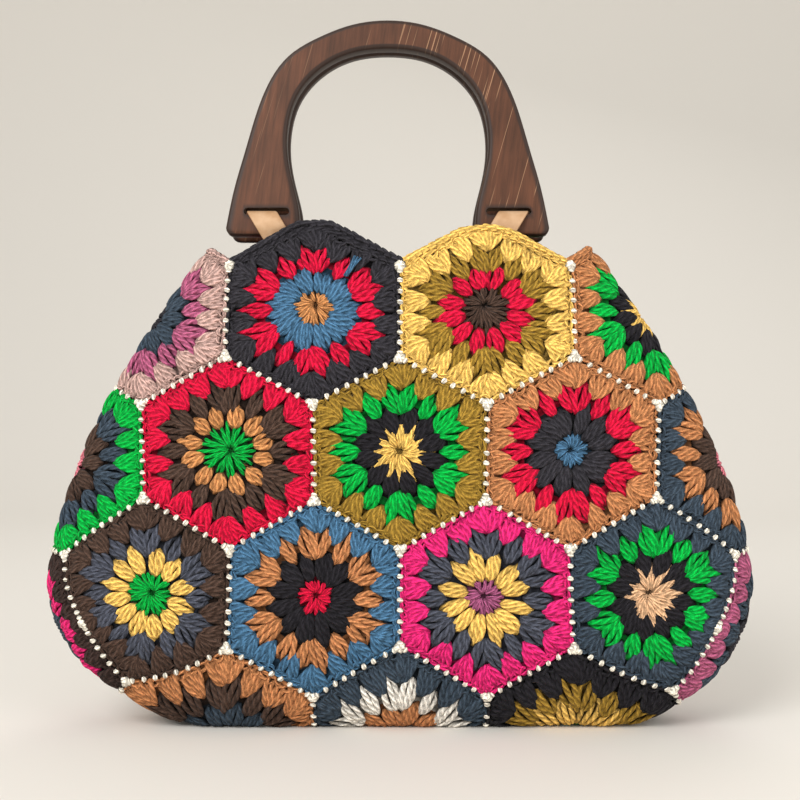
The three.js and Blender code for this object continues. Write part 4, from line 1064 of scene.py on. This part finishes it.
# Darker on the rounded edges, sides and foot ends, with painted shadow on the slot walls
edged = mixed(tree, ranged(tree, rim, 0.15, 0.9, 0, 0.85), scratched, EDGE_DARK_AND_SLOT_SHADE)
link_colour_and_bump(tree, shader, edged, grain, 0.2, 0.0003)
arch_points, arch_faces, arch_rim = handle_surface()
lean = np.arcsin((HINGE_Y - (HANDLE_THICKNESS + HANDLE_GAP) / 2) / (HANDLE_HEIGHT - BAR_HEIGHT / 2))
for name, side in (("front_handle", -1), ("rear_handle", 1)):
    along, up, deep = arch_points.T
    points = np.stack([HANDLE_OFFSET + along, side * HINGE_Y - side * up * np.sin(lean) - deep * np.cos(lean),
                       HINGE_Z + up * np.cos(lean) - side * deep * np.sin(lean)], axis=1)
    piece = lay_plain("wooden_" + name, points, arch_faces, arch_rim, wood)
    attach(piece, name)
    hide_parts(name)


# Tabs: straps of tan leather, slanting down through the slots and round the bars; the two ends lie together
# inside the mouth and are sewn to the cloth. The grain is fine and the cut edges are a little darker.
TAB_WIDTH = 16
TAB_INNER_RADIUS = 6.7
TAB_LEATHER = 1.6
TAB_TAIL_END_Z = 232
TAB_SLANT = 0.6
TAB_FROM_SLOT_MIDDLE = 3
CONTACT_GAP = 0.7
TAB_EDGE = 0.5
TAB_COLUMNS = 7
TAB_TAIL_ROWS = 9
TAB_LOOP_ROWS = 40
HALVINGS = 30
LEATHER_DARK, LEATHER_PALE, LEATHER_EDGE = "#b0875f", "#c6a27e", "#9a6f4c"


def cloth_depth(x, z):
    """Depth of the middle of the cloth at a place seen from the front, by halving."""
    inside, outside = np.zeros_like(x), np.full_like(x, HALF_DEPTH)
    for _ in range(HALVINGS):
        y = (inside + outside) / 2
        within = form_value(np.stack([x, y, z], axis=-1)) < 0
        inside, outside = np.where(within, y, inside), np.where(within, outside, y)
    return inside


def strap_surface(side_x, side_y):
    """The strap as rings along its path: up inside the mouth, round the bar at the loop radius, and down again
    between that end and the cloth. Each ring is a flat rectangle with slightly rounded edges; it drifts towards
    the middle of the bag as it comes down, by the slant times the fall."""
    loop = TAB_INNER_RADIUS + TAB_LEATHER / 2

    def middle_x(z):
        drift = TAB_SLANT * (HINGE_Z + loop + TAB_LEATHER / 2 - z) - TAB_FROM_SLOT_MIDDLE
        return HANDLE_OFFSET + side_x * (SLOT_X - drift)

    z = np.linspace(HINGE_Z - loop - TAB_LEATHER / 2, TAB_TAIL_END_Z, TAB_TAIL_ROWS)
    edges = middle_x(z)[:, None] + TAB_WIDTH / 2 * np.array([-1, 1])
    lying = cloth_depth(edges, z[:, None] + 0 * edges).min(axis=1) - MOTIF_THICKNESS / 2 - CONTACT_GAP
    tail = np.stack([HINGE_Y - lying + TAB_LEATHER / 2, z - HINGE_Z], axis=1)
    under = tail + (TAB_LEATHER, 0)
    along, up = np.stack([under[0], tail[0]]).T
    angle = np.arctan2(up, along)
    opening = np.arccos(np.minimum(1, loop / np.hypot(along, up)))
    turn = np.linspace(angle[0] + opening[0], angle[1] - opening[1] + 2 * np.pi, TAB_LOOP_ROWS)
    path = np.concatenate([under[::-1], loop * np.stack([np.cos(turn), np.sin(turn)], axis=1), tail])
    ahead = unit(np.gradient(path, axis=0))
    outwards = np.stack([ahead[:, 1], -ahead[:, 0]], axis=1)
    half, thick = TAB_WIDTH / 2, TAB_LEATHER / 2
    across = np.r_[np.linspace(half - TAB_EDGE, TAB_EDGE - half, TAB_COLUMNS), -half, -half]
    raised = np.r_[np.full(TAB_COLUMNS, thick), thick - TAB_EDGE, TAB_EDGE - thick]
    across, raised = np.r_[across, -across], np.r_[raised, -raised]
    plane = path[:, None] + raised[:, None] * outwards[:, None]
    height = HINGE_Z + plane[..., 1]
    points = np.stack([middle_x(height) + across, side_y * (HINGE_Y - plane[..., 0]), height], axis=-1)
    rows, ring = points.shape[:2]
    spot = np.arange(-1, TAB_COLUMNS)
    opposite = (ring // 2 + TAB_COLUMNS - 1 - spot) % ring
    cap = np.stack([spot % ring, spot + 1, (opposite - 1) % ring, opposite], axis=1)
    faces = np.concatenate([ring_cells(rows, ring).reshape(-1, 4), cap, cap[:, ::-1] + (rows - 1) * ring])
    rim = np.broadcast_to(np.abs(across) > half - 0.1, (rows, ring)).reshape(-1)
    return points.reshape(-1, 3), faces if side_y > 0 else faces[:, ::-1], rim


leather, tree, shader = start_material("tan_leather", {"Roughness": 0.62})
where = wire(tree, "ShaderNodeTexCoord").outputs["Object"]
pores = wire(tree, "ShaderNodeTexVoronoi", {"Vector": where, "Scale": 1400})
blotches = wire(tree, "ShaderNodeTexNoise", {"Vector": where, "Scale": 160, "Detail": 5})
tan = two_tones(tree, blotches.outputs["Fac"], 0.3, LEATHER_DARK, 0.72, LEATHER_PALE)
rim = wire(tree, "ShaderNodeAttribute", attribute_name="rim").outputs["Fac"]
link_colour_and_bump(tree, shader, mixed(tree, rim, tan, LEATHER_EDGE), pores.outputs["Distance"], 0.25, 0.0002)
for end, side_y in (("front", -1), ("rear", 1)):
    for hand, side_x in (("left", -1), ("right", 1)):
        name = f"{end}_tab_{hand}"
        piece = lay_plain("leather_" + name, *strap_surface(side_x, side_y), leather)
        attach(piece, "bag")
        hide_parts(name)


# Floor and light: a pale sweep that rises behind the bag, a soft lamp from the upper left,
# weaker ones from the right and from behind, and an even pale sky.
SWEEP_HALF_WIDTH = 4
SWEEP_FRONT = -2.5
SWEEP_BACK = 1.2
SWEEP_RADIUS = 1.2
SWEEP_HEIGHT = 3
SWEEP_STEPS = 24
LAMP_AIM_Z = 0.15
FLOOR_COLOUR, GLOW_COLOUR, HAZE_COLOUR = "#e4dfd7", "#f2f1ee", "#dcd5ca"
sweep_turn = np.linspace(0, np.pi / 2, SWEEP_STEPS)
sweep_y = np.r_[SWEEP_FRONT, SWEEP_BACK + SWEEP_RADIUS * np.sin(sweep_turn), SWEEP_BACK + SWEEP_RADIUS]
sweep_z = np.r_[0, SWEEP_RADIUS * (1 - np.cos(sweep_turn)), SWEEP_HEIGHT]
profile = np.stack([np.zeros_like(sweep_y), sweep_y, sweep_z], axis=1)
sweep_points = np.concatenate([profile - (SWEEP_HALF_WIDTH, 0, 0), profile + (SWEEP_HALF_WIDTH, 0, 0)])
first = np.arange(len(profile) - 1)
sweep_faces = np.stack([first, first + len(profile), first + len(profile) + 1, first + 1], axis=1)
sweep_mesh = bpy.data.meshes.new("floor")
sweep_mesh.from_pydata(sweep_points.tolist(), [], sweep_faces.tolist())
sweep_mesh.polygons.foreach_set("use_smooth", np.ones(len(sweep_faces), bool))
pale = start_material("pale_floor", {"Base Color": paint(FLOOR_COLOUR), "Roughness": 0.9})[0]
sweep_mesh.materials.append(pale)
put_in_scene("floor", sweep_mesh)


def soft_lamp(name, place, size, power):
    """A square area lamp at place, turned towards the middle of the bag."""
    lamp = put_in_scene(name, bpy.data.lights.new(name, "AREA"))
    lamp.data.size = size
    lamp.data.energy = power
    away = np.array(place) - (0, 0, LAMP_AIM_Z)
    lamp.location = place
    lamp.rotation_euler = (np.arctan2(np.hypot(away[0], away[1]), away[2]), 0, np.arctan2(away[0], -away[1]))


soft_lamp("key_lamp", (-0.9, -1.5, 1.3), 1.0, 32)
soft_lamp("fill_lamp", (1.3, -1.2, 0.7), 1.2, 12)
soft_lamp("rear_lamp", (0.5, 1.5, 1.7), 1.2, 8)
sky = bpy.data.worlds.new("sky")
sky.use_nodes = True
tree = sky.node_tree
glow = tree.nodes["Background"]
glow.inputs["Color"].default_value = paint(GLOW_COLOUR)
glow.inputs["Strength"].default_value = 0.7
haze = wire(tree, "ShaderNodeBackground", {"Color": paint(HAZE_COLOUR), "Strength": 1})
# The haze stands behind the bag for the eye and in reflections; the glow lights it
ray = wire(tree, "ShaderNodeLightPath")
seen = ray.outputs["Is Camera Ray"]
for kind in ("Is Glossy Ray", "Is Transmission Ray"):
    seen = wire(tree, "ShaderNodeMath", {0: seen, 1: ray.outputs[kind]}, operation="MAXIMUM").outputs[0]
air = wire(tree, "ShaderNodeMixShader", {0: seen, 1: glow.outputs[0], 2: haze.outputs[0]})
tree.links.new(air.outputs[0], tree.nodes["World Output"].inputs["Surface"])
bpy.context.scene.world = sky
bpy.context.scene.view_settings.view_transform = "Standard"
